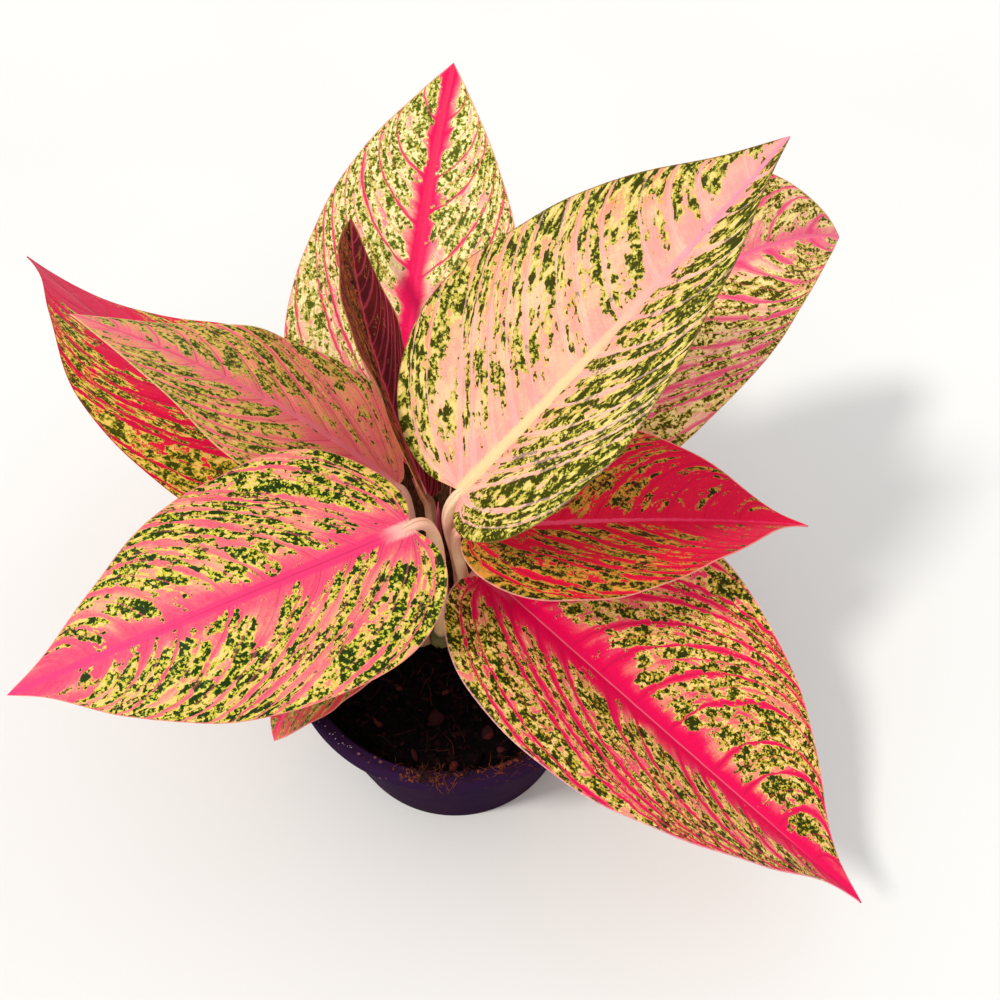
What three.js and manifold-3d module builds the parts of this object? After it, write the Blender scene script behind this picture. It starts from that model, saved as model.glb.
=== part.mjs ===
// A potted aglaonema with ten broad leaves, standing in a small plastic nursery pot.
// Units are millimetres and +Z is up. The origin is the middle of the pot's underside,
// and the plant's front, where the soil shows, faces -Y.
import * as THREE from 'three';
import { mergeVertices } from 'three/addons/utils/BufferGeometryUtils.js';
import Module from 'manifold-3d';

const wasm = await Module();
wasm.setup();

// Clearance between pieces that touch on the real plant
const GAP = 0.3;

// Pot
const POT_HEIGHT = 78;
const POT_RIM_RADIUS = 70;
const POT_BASE_RADIUS = 52;
const POT_WALL = 1.5;
const POT_FLOOR = 1.8;
const LIP_WIDTH = 6.3;
const LIP_DROP = 6;
const LIP_ROUNDING = 1.2;
const LIP_LEAN = 0.3;
const LIP_SHOULDER = 0.5;
const LIP_INNER_EDGE = 1;
const LIP_INNER_DEPTH = 3;
const LIP_INNER_STEP = 0.2;
const POT_SIDES = 48;
const DRAIN_HOLES = 6;
const DRAIN_HOLE_RADIUS = 4.5;
const DRAIN_RING_RADIUS = 34;
const DRAIN_SIDES = 12;

// Soil
const SOIL_LEVEL = 65;
const SOIL_MOUND = 5;
const SOIL_MOUND_WIDTH = 26;
const SOIL_ROUGHNESS = 0.9;
// Two crossed waves of lumps, in radians per millimetre along X and Y
const WIDE_LUMPS = [0.31, 0.27];
const WIDE_LUMPS_SHIFT = 1.3;
const FINE_LUMPS = [0.53, 0.41];
const FINE_LUMPS_SHARE = 0.6;
const SOIL_RINGS = 7;
const SOIL_SIDES = POT_SIDES;

// Cane and roots
const CANE_CENTRE = new THREE.Vector2(-4, 4);
const CANE_RADIUS = 8;
const CANE_FOOT = 40;
const CANE_TOP = 96;
const CANE_RING_PITCH = 9;
const CANE_RING_DEPTH = 0.5;
const CANE_RING_START = 0.7;
const CANE_RING_BOTTOM = 0.85;
const CANE_FOOT_EDGE = 1;
const CANE_TOP_EDGE = 1.5;
const CANE_SIDES = 16;
const ROOT_COUNT = 7;
const ROOT_RADIUS = 2;
const ROOT_REACH = 36;
const ROOT_DROP = 30;
const ROOT_SIDES = 6;
const ROOT_STEPS = 7;
const ROOT_TAPER = 0.6;
const ROOT_STAGGER = 0.35;
const SHORT_ROOT_SHARE = 0.8;
const ROOT_START_SHARE = 0.4;
// Each bend of a root, as shares of its reach and of its drop
const ROOT_BENDS = [[0.45, 0.2], [0.85, 0.6]];
const ROOT_CROWN_HEIGHT = 7;
const ROOT_CROWN_INSET = 1;
const ROOT_CROWN_SIDES = 12;
const ROOT_CROWN_BOTTOM = 0.7;
const ROOT_CROWN_TOP = 0.9;

// Petioles
const PETIOLE_FOOT_RADIUS = 3;
const PETIOLE_END_RADIUS = 2.2;
const PETIOLE_TAPER_POWER = 0.7;
const PETIOLE_SIDES = 8;
const PETIOLE_STEPS = 12;
const PETIOLE_SETBACK = 1.8;

// Blades. The outline runs from the stalk round one half to the tip, in shares
// of the length and of the half width. Slimming is what a leaf whose taper is 1
// loses from the half width at each of those points.
const BLADE_THICKNESS = 0.8;
const BLADE_ROWS = 16;
const BLADE_COLUMNS = [0.05, 0.3, 0.62, 1];
const BLADE_OUTLINE = [
  [0, 0], [-0.035, 0.28], [0, 0.62], [0.12, 0.91], [0.31, 1],
  [0.55, 0.86], [0.75, 0.56], [0.9, 0.24], [1, 0],
];
const TIP_SLIMMING = [0, 0, 0, 0, 0, 0, 0.04, 0.085, 0];
const OUTLINE_ASPECT = 0.29;
const MIDRIB_STEPS = 60;
const VEIN_START_POWER = 1.9;
const VEIN_SWEEP_POWER = 1.5;
const MIDRIB_DEPTH = 1.6;
const WAVE_HEIGHT = 1.2;
const WAVE_COUNT = 3;
const WAVE_POWER = 3;
const WAVE_SHIFT = 2;

// Each leaf: base of the blade, length, half widths to the left and right of its heading,
// and its angles in degrees. Sweep turns the heading, and droop lowers the pitch, from base
// to tip. Roll and twist turn it about its midrib, left side up. Fold is how far each half
// rises beside the midrib, and cup how far it bends down again towards the margin.
// Belly fills out a half's front part, or trims it where it is below zero, and taper slims
// the tip. Foot gives where the petiole leaves the cane: its bearing and its height. Bend
// is how far it first runs upright, and how far its end runs in line with the midrib.
const LEAVES = {
  front_left: {
    base: [-12, -12, 169], length: 151, halfWidth: [44, 47], heading: 215, sweep: -25,
    pitch: 9, droop: 35, roll: -8, twist: -12, fold: [-6, -3], cup: [17, -10], belly: [-0.1, -0.1],
    foot: [270, 90], bend: [30, 15], taper: 0.9,
  },
  upper_right: {
    base: [6, 2.5, 171], length: 163, halfWidth: [56, 46], heading: 24, sweep: 15,
    pitch: 44, droop: 9, roll: -1, twist: -8, fold: [27, 28], cup: [-11, 28], belly: [0, -0.1],
    foot: [46, 88], bend: [40, 15], taper: 0.3,
  },
  right: {
    base: [8, -2.5, 154.5], length: 144, halfWidth: [43, 42], heading: 13, sweep: -5,
    pitch: -8, droop: 8, roll: 3, twist: -22, fold: [24, 23], cup: [-14, 29], belly: [0, -0.1],
    foot: [0, 80], bend: [40, 8], taper: 1,
  },
  front_right: {
    base: [15, -4, 127], length: 199, halfWidth: [68, 56], heading: -35, sweep: 4,
    pitch: -23, droop: 5, roll: -8, twist: -20, fold: [17, 20], cup: [-47, 25], belly: [0.1, -0.1],
    foot: [300, 74], bend: [30, 5], taper: 0.9,
  },
  back: {
    base: [-25, 60, 123], length: 174, halfWidth: [52, 49], heading: 83, sweep: -5,
    pitch: 46, droop: 19, roll: 1, twist: 1, fold: [7, 13], cup: [1, 11], belly: [0, 0],
    foot: [112, 84], bend: [20, 18], taper: 0,
  },
  right_back: {
    base: [18, 65, 112], length: 215, halfWidth: [56, 55], heading: 28, sweep: 8,
    pitch: 58, droop: 88, roll: 17, twist: 27, fold: [22, 17], cup: [30, 15], belly: [0.1, 0],
    foot: [80, 76], bend: [15, 20], taper: 0,
  },
  left: {
    base: [-22, 35, 133], length: 146, halfWidth: [40, 44], heading: 174, sweep: -14,
    pitch: 53, droop: 50, roll: 17, twist: 14, fold: [6, -2], cup: [42, -29], belly: [-0.2, 0],
    foot: [178, 86], bend: [25, 10], taper: 0,
  },
  left_back: {
    base: [-42, 56, 118], length: 197, halfWidth: [60, 58], heading: 154, sweep: -14,
    pitch: 4, droop: -9, roll: 12, twist: 44, fold: [8, 3], cup: [38, -31], belly: [0, 0],
    foot: [145, 72], bend: [15, 10], taper: 0.8,
  },
  low: {
    base: [-19, -9, 104], length: 86, halfWidth: [20, 21], heading: 211, sweep: 0,
    pitch: 2, droop: 76, roll: 0, twist: 0, fold: [12, 12], cup: [10, 10], belly: [0, 0],
    foot: [212, 72], bend: [15, 10], taper: 0,
  },
  young: {
    base: [-7.5, 12, 154], length: 130, halfWidth: [22, 17], heading: 122, sweep: -28,
    pitch: 44, droop: 46, roll: 40, twist: -14, fold: [30, 12], cup: [-11, 16], belly: [0, 0],
    foot: [150, 96], bend: [30, 6], taper: 0,
  },
};

// Rolled new leaf in the middle
const SPIKE_FOOT = new THREE.Vector3(-2, 3, CANE_TOP + 2 * GAP);
const SPIKE_TIP = new THREE.Vector3(-3, 6.5, 160);
const SPIKE_BOW = new THREE.Vector3(-1, -1, 0);
const SPIKE_RADIUS = 1.6;
const SPIKE_TAPER = 0.92;
const SPIKE_TAPER_POWER = 3;
const SPIKE_SIDES = 8;
const SPIKE_STEPS = 12;

// Surface of each kind of piece
const FINISHES = {
  pot: { color: 0x33204a, roughness: 0.4 },
  soil: { color: 0x1b0f10, roughness: 0.95 },
  cane: { color: 0x8a8f52, roughness: 0.6 },
  roots: { color: 0xd9c7a6, roughness: 0.8 },
  petiole: { color: 0xf2b9a0, roughness: 0.45 },
  blade: { color: 0xe0607a, roughness: 0.4 },
  youngBlade: { color: 0x5c1430, roughness: 0.4 },
  rolledLeaf: { color: 0x8c1530, roughness: 0.4 },
};

const radians = THREE.MathUtils.degToRad;

// Mesh helpers

function closedGeometry(points, triangles) {
  const geometry = new THREE.BufferGeometry();
  geometry.setAttribute('position', new THREE.Float32BufferAttribute(points.flat(), 3));
  geometry.setIndex(triangles.flat());
  return cleaned(geometry);
}

function cleaned(geometry) {
  const plain = geometry.clone();
  plain.deleteAttribute('normal');
  plain.deleteAttribute('uv');
  const merged = mergeVertices(plain, 1e-3);
  const index = merged.index.array;
  const kept = [];
  for (let i = 0; i < index.length; i += 3) {
    const [a, b, c] = index.slice(i, i + 3);
    if (a !== b && b !== c && c !== a) kept.push(a, b, c);
  }
  merged.setIndex(kept);
  return merged;
}

function toSolid(geometry) {
  const merged = cleaned(geometry);
  return new wasm.Manifold(new wasm.Mesh({
    numProp: 3,
    vertProperties: new Float32Array(merged.attributes.position.array),
    triVerts: new Uint32Array(merged.index.array),
  }));
}

function toGeometry(solid) {
  const mesh = solid.getMesh();
  const geometry = new THREE.BufferGeometry();
  geometry.setAttribute('position', new THREE.BufferAttribute(mesh.vertProperties, 3));
  geometry.setIndex(new THREE.BufferAttribute(mesh.triVerts, 1));
  return geometry;
}

function turned(profile, sides) {
  const outline = profile.map(([radius, height]) => new THREE.Vector2(radius, height));
  return new THREE.LatheGeometry(outline, sides).rotateX(Math.PI / 2);
}

// A closed tube round a curve, whose radius changes along it
function stalk(curve, radiusAt, sides, steps) {
  const frames = curve.computeFrenetFrames(steps, false);
  const points = [];
  const triangles = [];
  for (let i = 0; i <= steps; i += 1) {
    const centre = curve.getPointAt(i / steps);
    const radius = radiusAt(i / steps);
    for (let k = 0; k < sides; k += 1) {
      const angle = (2 * Math.PI * k) / sides;
      const point = centre.clone();
      point.addScaledVector(frames.normals[i], radius * Math.cos(angle));
      point.addScaledVector(frames.binormals[i], radius * Math.sin(angle));
      points.push(point.toArray());
    }
  }
  const first = points.push(curve.getPointAt(0).toArray()) - 1;
  const last = points.push(curve.getPointAt(1).toArray()) - 1;
  for (let k = 0; k < sides; k += 1) {
    const next = (k + 1) % sides;
    triangles.push([first, next, k]);
    triangles.push([last, steps * sides + k, steps * sides + next]);
    for (let i = 0; i < steps; i += 1) {
      const a = i * sides + k;
      const b = i * sides + next;
      triangles.push([a, b, b + sides], [a, b + sides, a + sides]);
    }
  }
  return closedGeometry(points, triangles);
}

// Pot, soil, cane and roots

function potGeometry() {
  const lipFoot = POT_HEIGHT - LIP_DROP;
  const wallTop = POT_RIM_RADIUS - LIP_WIDTH / 2;
  const inner = POT_RIM_RADIUS - LIP_WIDTH;
  const profile = [
    [0, 0],
    [POT_BASE_RADIUS - LIP_ROUNDING, 0],
    [POT_BASE_RADIUS, LIP_ROUNDING],
    [wallTop, lipFoot - LIP_ROUNDING],
    [POT_RIM_RADIUS - LIP_ROUNDING, lipFoot - LIP_ROUNDING],
    [POT_RIM_RADIUS, lipFoot],
    [POT_RIM_RADIUS - LIP_LEAN, POT_HEIGHT - 2 * LIP_ROUNDING],
    [POT_RIM_RADIUS - LIP_ROUNDING, POT_HEIGHT - LIP_SHOULDER],
    [POT_RIM_RADIUS - 2 * LIP_ROUNDING, POT_HEIGHT],
    [inner + 2 * LIP_ROUNDING, POT_HEIGHT - LIP_INNER_EDGE],
    [inner, POT_HEIGHT - LIP_INNER_DEPTH],
    [inner + LIP_INNER_STEP, lipFoot - LIP_ROUNDING],
    [POT_BASE_RADIUS - POT_WALL, POT_FLOOR + LIP_ROUNDING],
    [POT_BASE_RADIUS - POT_WALL - LIP_ROUNDING, POT_FLOOR],
    [0, POT_FLOOR],
  ];
  let solid = toSolid(turned(profile, POT_SIDES));
  for (let i = 0; i < DRAIN_HOLES; i += 1) {
    const angle = (2 * Math.PI * i) / DRAIN_HOLES;
    const length = 4 * POT_FLOOR;
    const drill = new THREE.CylinderGeometry(DRAIN_HOLE_RADIUS, DRAIN_HOLE_RADIUS, length, DRAIN_SIDES);
    drill.rotateX(Math.PI / 2);
    drill.translate(DRAIN_RING_RADIUS * Math.cos(angle), DRAIN_RING_RADIUS * Math.sin(angle), 0);
    solid = solid.subtract(toSolid(drill));
  }
  return toGeometry(solid);
}

function potInnerRadius(height) {
  const lipFoot = POT_HEIGHT - LIP_DROP - LIP_ROUNDING;
  const top = POT_RIM_RADIUS - LIP_WIDTH + LIP_INNER_STEP;
  const bottom = POT_BASE_RADIUS - POT_WALL;
  const share = (height - POT_FLOOR - LIP_ROUNDING) / (lipFoot - POT_FLOOR - LIP_ROUNDING);
  return bottom + (top - bottom) * share;
}

function soilHeight(x, y) {
  const fromCane = Math.hypot(x - CANE_CENTRE.x, y - CANE_CENTRE.y);
  const mound = SOIL_MOUND * Math.exp(-((fromCane / SOIL_MOUND_WIDTH) ** 2));
  const wide = Math.sin(WIDE_LUMPS[0] * x + WIDE_LUMPS_SHIFT) * Math.cos(WIDE_LUMPS[1] * y);
  const fine = FINE_LUMPS_SHARE * Math.sin(FINE_LUMPS[0] * x - FINE_LUMPS[1] * y);
  const fade = 1 - (Math.hypot(x, y) / potInnerRadius(SOIL_LEVEL)) ** 4;
  return SOIL_LEVEL + mound + SOIL_ROUGHNESS * (wide + fine) * Math.max(fade, 0);
}

function rootCurve(index, extra) {
  const angle = (2 * Math.PI * (index + ROOT_STAGGER * (index % 2))) / ROOT_COUNT;
  const reach = ROOT_REACH * (index % 2 ? SHORT_ROOT_SHARE : 1);
  const start = CANE_FOOT - GAP - ROOT_CROWN_HEIGHT / 2;
  const out = new THREE.Vector3(Math.cos(angle), Math.sin(angle), 0);
  const centre = new THREE.Vector3(CANE_CENTRE.x, CANE_CENTRE.y, start);
  return new THREE.CatmullRomCurve3([
    centre.clone().addScaledVector(out, CANE_RADIUS * ROOT_START_SHARE),
    ...ROOT_BENDS.map(([outward, down]) => (
      centre.clone().addScaledVector(out, reach * outward).setZ(start - ROOT_DROP * down)
    )),
    centre.clone().addScaledVector(out, reach + extra).setZ(start - ROOT_DROP - extra),
  ]);
}

function rootSolid(extra) {
  const radius = CANE_RADIUS - ROOT_CROWN_INSET + extra;
  const top = CANE_FOOT - GAP + extra;
  const bottom = top - ROOT_CROWN_HEIGHT - 2 * extra;
  const crown = turned([
    [0, bottom], [radius * ROOT_CROWN_BOTTOM, bottom],
    [radius, top - ROOT_CROWN_HEIGHT / 2], [radius * ROOT_CROWN_TOP, top], [0, top],
  ], ROOT_CROWN_SIDES).translate(CANE_CENTRE.x, CANE_CENTRE.y, 0);
  let solid = toSolid(crown);
  for (let i = 0; i < ROOT_COUNT; i += 1) {
    const radiusAt = (t) => ROOT_RADIUS * (1 - ROOT_TAPER * t) + extra;
    solid = solid.add(toSolid(stalk(rootCurve(i, extra), radiusAt, ROOT_SIDES, ROOT_STEPS)));
  }
  return solid;
}

function caneGeometry() {
  const rings = Math.floor((CANE_TOP - CANE_FOOT) / CANE_RING_PITCH);
  const profile = [[0, CANE_FOOT], [CANE_RADIUS - CANE_FOOT_EDGE, CANE_FOOT]];
  for (let i = 0; i < rings; i += 1) {
    const height = CANE_FOOT + CANE_FOOT_EDGE + i * CANE_RING_PITCH;
    profile.push([CANE_RADIUS, height]);
    profile.push([CANE_RADIUS, height + CANE_RING_PITCH * CANE_RING_START]);
    profile.push([CANE_RADIUS - CANE_RING_DEPTH, height + CANE_RING_PITCH * CANE_RING_BOTTOM]);
  }
  profile.push([CANE_RADIUS - CANE_TOP_EDGE, CANE_TOP], [0, CANE_TOP]);
  return cleaned(turned(profile, CANE_SIDES).translate(CANE_CENTRE.x, CANE_CENTRE.y, 0));
}

function soilGeometry() {
  const floor = POT_FLOOR + GAP;
  const points = [[0, 0, floor]];
  const triangles = [];
  const wallLevels = [floor, POT_FLOOR + LIP_ROUNDING + GAP, SOIL_LEVEL];
  const rings = wallLevels.map((level) => ({ radius: potInnerRadius(level) - GAP, level }));
  rings[0].radius = POT_BASE_RADIUS - POT_WALL - LIP_ROUNDING - GAP;
  for (let i = 1; i < SOIL_RINGS; i += 1) {
    const share = 1 - i / SOIL_RINGS;
    rings.push({ radius: rings[2].radius * share, level: null });
  }
  rings.forEach(({ radius, level }, row) => {
    for (let k = 0; k < SOIL_SIDES; k += 1) {
      const angle = (2 * Math.PI * k) / SOIL_SIDES;
      const x = radius * Math.cos(angle);
      const y = radius * Math.sin(angle);
      points.push([x, y, row < wallLevels.length - 1 ? level : soilHeight(x, y)]);
    }
  });
  const top = points.push([0, 0, soilHeight(0, 0)]) - 1;
  const lastRow = 1 + (rings.length - 1) * SOIL_SIDES;
  for (let k = 0; k < SOIL_SIDES; k += 1) {
    const next = (k + 1) % SOIL_SIDES;
    triangles.push([0, 1 + next, 1 + k]);
    triangles.push([lastRow + k, lastRow + next, top]);
    for (let row = 0; row < rings.length - 1; row += 1) {
      const a = 1 + row * SOIL_SIDES + k;
      const b = 1 + row * SOIL_SIDES + next;
      triangles.push([a, b, b + SOIL_SIDES], [a, b + SOIL_SIDES, a + SOIL_SIDES]);
    }
  }
  const hole = turned([
    [0, CANE_FOOT - 2 * GAP], [CANE_RADIUS + GAP, CANE_FOOT - 2 * GAP],
    [CANE_RADIUS + GAP, CANE_TOP], [0, CANE_TOP],
  ], CANE_SIDES).translate(CANE_CENTRE.x, CANE_CENTRE.y, 0);
  const body = toSolid(closedGeometry(points, triangles));
  return toGeometry(body.subtract(toSolid(hole)).subtract(rootSolid(3 * GAP)));
}

// Leaves

// The outline's points, one for each row of the blade
function marginTable(taper) {
  const knots = BLADE_OUTLINE.map(([x, y], knot) => (
    new THREE.Vector3(x, (y - TIP_SLIMMING[knot] * taper) * OUTLINE_ASPECT, 0)
  ));
  const curve = new THREE.CatmullRomCurve3(knots, false, 'catmullrom', 0.5);
  return Array.from({ length: BLADE_ROWS + 1 }, (_, row) => {
    const point = curve.getPointAt(row / BLADE_ROWS);
    return [point.x, point.y / OUTLINE_ASPECT];
  });
}

function directionAt(leaf, x) {
  const heading = radians(leaf.heading + leaf.sweep * x);
  const pitch = radians(leaf.pitch - leaf.droop * x);
  return new THREE.Vector3(
    Math.cos(pitch) * Math.cos(heading),
    Math.cos(pitch) * Math.sin(heading),
    Math.sin(pitch),
  );
}

// The midrib as a chain of short steps, each along the leaf's direction there
function midribChain(leaf) {
  const chain = [new THREE.Vector3(...leaf.base)];
  for (let i = 0; i < MIDRIB_STEPS; i += 1) {
    const direction = directionAt(leaf, (i + 0.5) / MIDRIB_STEPS);
    chain.push(chain[i].clone().addScaledVector(direction, leaf.length / MIDRIB_STEPS));
  }
  return chain;
}

function midribFrame(leaf, chain, x) {
  const tangent = directionAt(leaf, x);
  const heading = radians(leaf.heading + leaf.sweep * x);
  const level = new THREE.Vector3(-Math.sin(heading), Math.cos(heading), 0);
  const up = new THREE.Vector3().crossVectors(tangent, level);
  const roll = radians(leaf.roll + leaf.twist * x);
  const side = level.multiplyScalar(Math.cos(roll)).addScaledVector(up, Math.sin(roll));
  const normal = new THREE.Vector3().crossVectors(tangent, side);
  const clamped = Math.min(Math.max(x, 0), 1);
  const place = clamped * (chain.length - 1);
  const index = Math.min(Math.floor(place), chain.length - 2);
  const origin = chain[index].clone().lerp(chain[index + 1], place - index);
  origin.addScaledVector(tangent, (x - clamped) * leaf.length);
  return { origin, side, normal };
}

// A point of the leaf's upper face. Row follows the outline from stalk to tip,
// and across runs from -1 at the right margin to 1 at the left one.
function bladePoint(leaf, chain, margin, row, across) {
  const half = across > 0 ? 0 : 1;
  const share = Math.abs(across);
  const u = row / BLADE_ROWS;
  const width = leaf.halfWidth[half];
  const fold = radians(leaf.fold[half]);
  const cup = radians(leaf.cup[half]);
  const start = u ** VEIN_START_POWER;
  const [outlineX, outlineY] = margin[row];
  const lobe = leaf === LEAVES.young ? 0 : Math.min(outlineX, 0);
  const marginX = lobe + Math.max(outlineX, 0) * (1 + leaf.belly[half] * (1 - outlineX));
  const x = start + (marginX - start) * share ** VEIN_SWEEP_POWER;
  const y = outlineY * share;
  const { origin, side, normal } = midribFrame(leaf, chain, x);
  const out = (width * (Math.sin(fold) - Math.sin(fold - cup * y))) / cup;
  const rise = (width * (Math.cos(fold - cup * y) - Math.cos(fold))) / cup;
  const height = WAVE_HEIGHT * Math.sin(Math.PI * u) * share ** WAVE_POWER;
  const wave = height * Math.sin(2 * Math.PI * WAVE_COUNT * u + WAVE_SHIFT * half);
  origin.addScaledVector(side, half === 0 ? out : -out);
  return origin.addScaledVector(normal, rise + wave);
}

function bladeGeometry(leaf) {
  if (leaf.cup.includes(0)) throw new Error('cup must not be zero');
  const chain = midribChain(leaf);
  const margin = marginTable(leaf.taper);
  const columns = [...BLADE_COLUMNS.map((c) => -c).reverse(), 0, ...BLADE_COLUMNS];
  const grid = margin.map((_, row) => (
    columns.map((across) => bladePoint(leaf, chain, margin, row, across))
  ));
  const lastColumn = columns.length - 1;
  const points = [];
  const triangles = [];
  const addFace = (offsetAt) => grid.forEach((line, row) => {
    line.forEach((point, column) => {
      const { normal } = midribFrame(leaf, chain, (row / BLADE_ROWS) ** VEIN_START_POWER);
      points.push(point.clone().addScaledVector(normal, offsetAt(row, column)).toArray());
    });
  });
  const rib = (row, column) => (
    columns[column] === 0 ? MIDRIB_DEPTH * (1 - row / BLADE_ROWS) : 0
  );
  addFace(() => 0);
  addFace((row, column) => -BLADE_THICKNESS - rib(row, column));
  const under = grid.length * columns.length;
  const at = (row, column) => row * columns.length + column;
  for (let row = 0; row < BLADE_ROWS; row += 1) {
    for (let column = 0; column < lastColumn; column += 1) {
      const a = at(row, column);
      const b = at(row, column + 1);
      const c = at(row + 1, column + 1);
      const d = at(row + 1, column);
      triangles.push([a, d, c], [a, c, b]);
      triangles.push([under + a, under + c, under + d], [under + a, under + b, under + c]);
    }
    const right = at(row, 0);
    const rightNext = at(row + 1, 0);
    const left = at(row, lastColumn);
    const leftNext = at(row + 1, lastColumn);
    triangles.push([right, under + right, under + rightNext], [right, under + rightNext, rightNext]);
    triangles.push([left, leftNext, under + leftNext], [left, under + leftNext, under + left]);
  }
  return closedGeometry(points, triangles);
}

function petioleCurve(leaf) {
  const [bearing, height] = leaf.foot;
  const [rise, lead] = leaf.bend;
  const standOff = CANE_RADIUS + GAP + PETIOLE_FOOT_RADIUS;
  const isTop = height >= CANE_TOP;
  const reach = isTop ? CANE_RADIUS / 2 : standOff;
  const foot = new THREE.Vector3(
    CANE_CENTRE.x + reach * Math.cos(radians(bearing)),
    CANE_CENTRE.y + reach * Math.sin(radians(bearing)),
    isTop ? CANE_TOP + GAP : height,
  );
  const direction = directionAt(leaf, 0);
  const setback = leaf === LEAVES.young ? 2 * GAP : PETIOLE_SETBACK;
  const end = new THREE.Vector3(...leaf.base).addScaledVector(direction, -setback);
  end.z -= BLADE_THICKNESS / 2;
  return new THREE.CubicBezierCurve3(
    foot,
    foot.clone().add(new THREE.Vector3(0, 0, rise)),
    end.clone().addScaledVector(direction, -lead),
    end,
  );
}

function petioleGeometry(leaf) {
  const slimming = PETIOLE_FOOT_RADIUS - PETIOLE_END_RADIUS;
  const radiusAt = (t) => PETIOLE_FOOT_RADIUS - slimming * t ** PETIOLE_TAPER_POWER;
  return stalk(petioleCurve(leaf), radiusAt, PETIOLE_SIDES, PETIOLE_STEPS);
}

function spikeGeometry() {
  const middle = SPIKE_FOOT.clone().lerp(SPIKE_TIP, 0.5).add(SPIKE_BOW);
  const curve = new THREE.CatmullRomCurve3([SPIKE_FOOT, middle, SPIKE_TIP]);
  const radiusAt = (t) => SPIKE_RADIUS * (1 - SPIKE_TAPER * t ** SPIKE_TAPER_POWER);
  return stalk(curve, radiusAt, SPIKE_SIDES, SPIKE_STEPS);
}

// Assembly

const plant = new THREE.Group();

function addPiece(name, geometry, finish) {
  const material = new THREE.MeshStandardMaterial({ ...finish, metalness: 0 });
  const mesh = new THREE.Mesh(geometry, material);
  mesh.name = name;
  plant.add(mesh);
}

addPiece('pot', potGeometry(), FINISHES.pot);
addPiece('soil', soilGeometry(), FINISHES.soil);
addPiece('cane', caneGeometry(), FINISHES.cane);
addPiece('roots', toGeometry(rootSolid(0)), FINISHES.roots);
addPiece('rolled_leaf', spikeGeometry(), FINISHES.rolledLeaf);
for (const [name, leaf] of Object.entries(LEAVES)) {
  const bladeFinish = name === 'young' ? FINISHES.youngBlade : FINISHES.blade;
  addPiece(`petiole_${name}`, petioleGeometry(leaf), FINISHES.petiole);
  addPiece(`blade_${name}`, bladeGeometry(leaf), bladeFinish);
}

export default plant;
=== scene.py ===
import math

import bpy
import numpy as np
from mathutils import Matrix, Vector


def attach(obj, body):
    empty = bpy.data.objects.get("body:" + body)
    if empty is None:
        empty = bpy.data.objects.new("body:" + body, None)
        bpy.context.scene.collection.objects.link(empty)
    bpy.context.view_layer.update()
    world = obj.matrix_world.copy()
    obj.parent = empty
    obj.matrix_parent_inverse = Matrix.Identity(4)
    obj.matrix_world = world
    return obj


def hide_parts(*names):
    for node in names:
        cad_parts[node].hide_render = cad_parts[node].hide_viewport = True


# The plant's finish: fine blades with raised veins and mottled colour, grooved petioles,
# a turned pot and crumbly soil. Shapes are worked out in millimetres and made in metres.
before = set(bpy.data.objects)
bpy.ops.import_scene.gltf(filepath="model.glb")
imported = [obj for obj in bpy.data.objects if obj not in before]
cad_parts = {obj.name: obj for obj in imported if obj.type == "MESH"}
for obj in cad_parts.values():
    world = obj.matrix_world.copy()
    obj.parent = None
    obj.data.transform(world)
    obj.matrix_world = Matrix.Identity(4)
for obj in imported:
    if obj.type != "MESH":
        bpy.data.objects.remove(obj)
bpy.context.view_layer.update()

MM = 0.001
BODY = "root"
FLAT_MAP = "OFBake"
EAST = (1, 0, 0)

# Pot and soil, as in the model
POT_HEIGHT = 78
POT_RIM_RADIUS = 70
POT_BASE_RADIUS = 52
POT_WALL = 1.5
POT_FLOOR = 1.8
POT_SIDES = 144
LIP_WIDTH = 6.3
LIP_DROP = 6
LIP_ROUNDING = 1.2
LIP_INNER_STEP = 0.2
RIM_EDGE = 65
DRAIN_HOLES = 6
DRAIN_HOLE_RADIUS = 4.5
DRAIN_RING_RADIUS = 34
DRAIN_SIDES = 28
SOIL_LEVEL = 65
SOIL_MOUND = 5
SOIL_MOUND_WIDTH = 26
SOIL_ROUGHNESS = 0.9
SOIL_SIDES = 160
SOIL_RINGS = 56

# Cane and petioles
GAP = 0.3
CANE_CENTRE = (-4, 4)
CANE_RADIUS = 8
CANE_FOOT = 40
CANE_TOP = 96
CANE_RING_PITCH = 9
CANE_STEPS = 90
CANE_SIDES = 48
PETIOLE_FOOT_RADIUS = 3
PETIOLE_END_RADIUS = 2.2
PETIOLE_TAPER_POWER = 0.7
PETIOLE_SETBACK = 1.8
PETIOLE_DROP = 0.4
PETIOLE_STEPS = 44
PETIOLE_SIDES = 26
KEEL_STEPS = 8
CHANNEL_DEPTH = 0.24
WING_HEIGHT = 0.42
SPIKE_FOOT = (-2, 3, CANE_TOP + 2 * GAP)
SPIKE_TIP = (-3, 6.5, 160)
SPIKE_BOW = (-1, -1, 0)
SPIKE_RADIUS = 1.6
SPIKE_STEPS = 60
SPIKE_SIDES = 28

# Dark withered sheaths behind the crown, painted shade in its gaps, each with its foot, its bend,
# its tip and its half width
SHEATH_ROWS = 26
SHEATH_COLUMNS = 10
SHEATH_THICKNESS = 0.4
SHEATH_CRUMPLE = 0.6
SHEATH_HOLLOW = 0.22
SHADE_FILLING_SHEATHS = [
    ((-9, 12, 78), (-13, 17, 98), (-24, 60, 122), 13),
    ((-3, 13, 76), (-2, 20, 98), (-3, 58, 113), 14),
    ((3, 12, 72), (7, 20, 92), (16, 50, 104), 12),
]

# Loose bits on the soil and the rim
LITTER_SEED = 5
CRUMB_COUNT = 620
LARGEST_CRUMB = 3.4
THREAD_COUNT = 150
THREAD_RADIUS = 0.22
STRAND_RADIUS = 0.13
HANGING_RADIUS = 0.16
SPECK_COUNT = 46
FIBRE_STEPS = 9
FIBRE_SIDES = 5
FIBRE_BEND = 0.28
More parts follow.
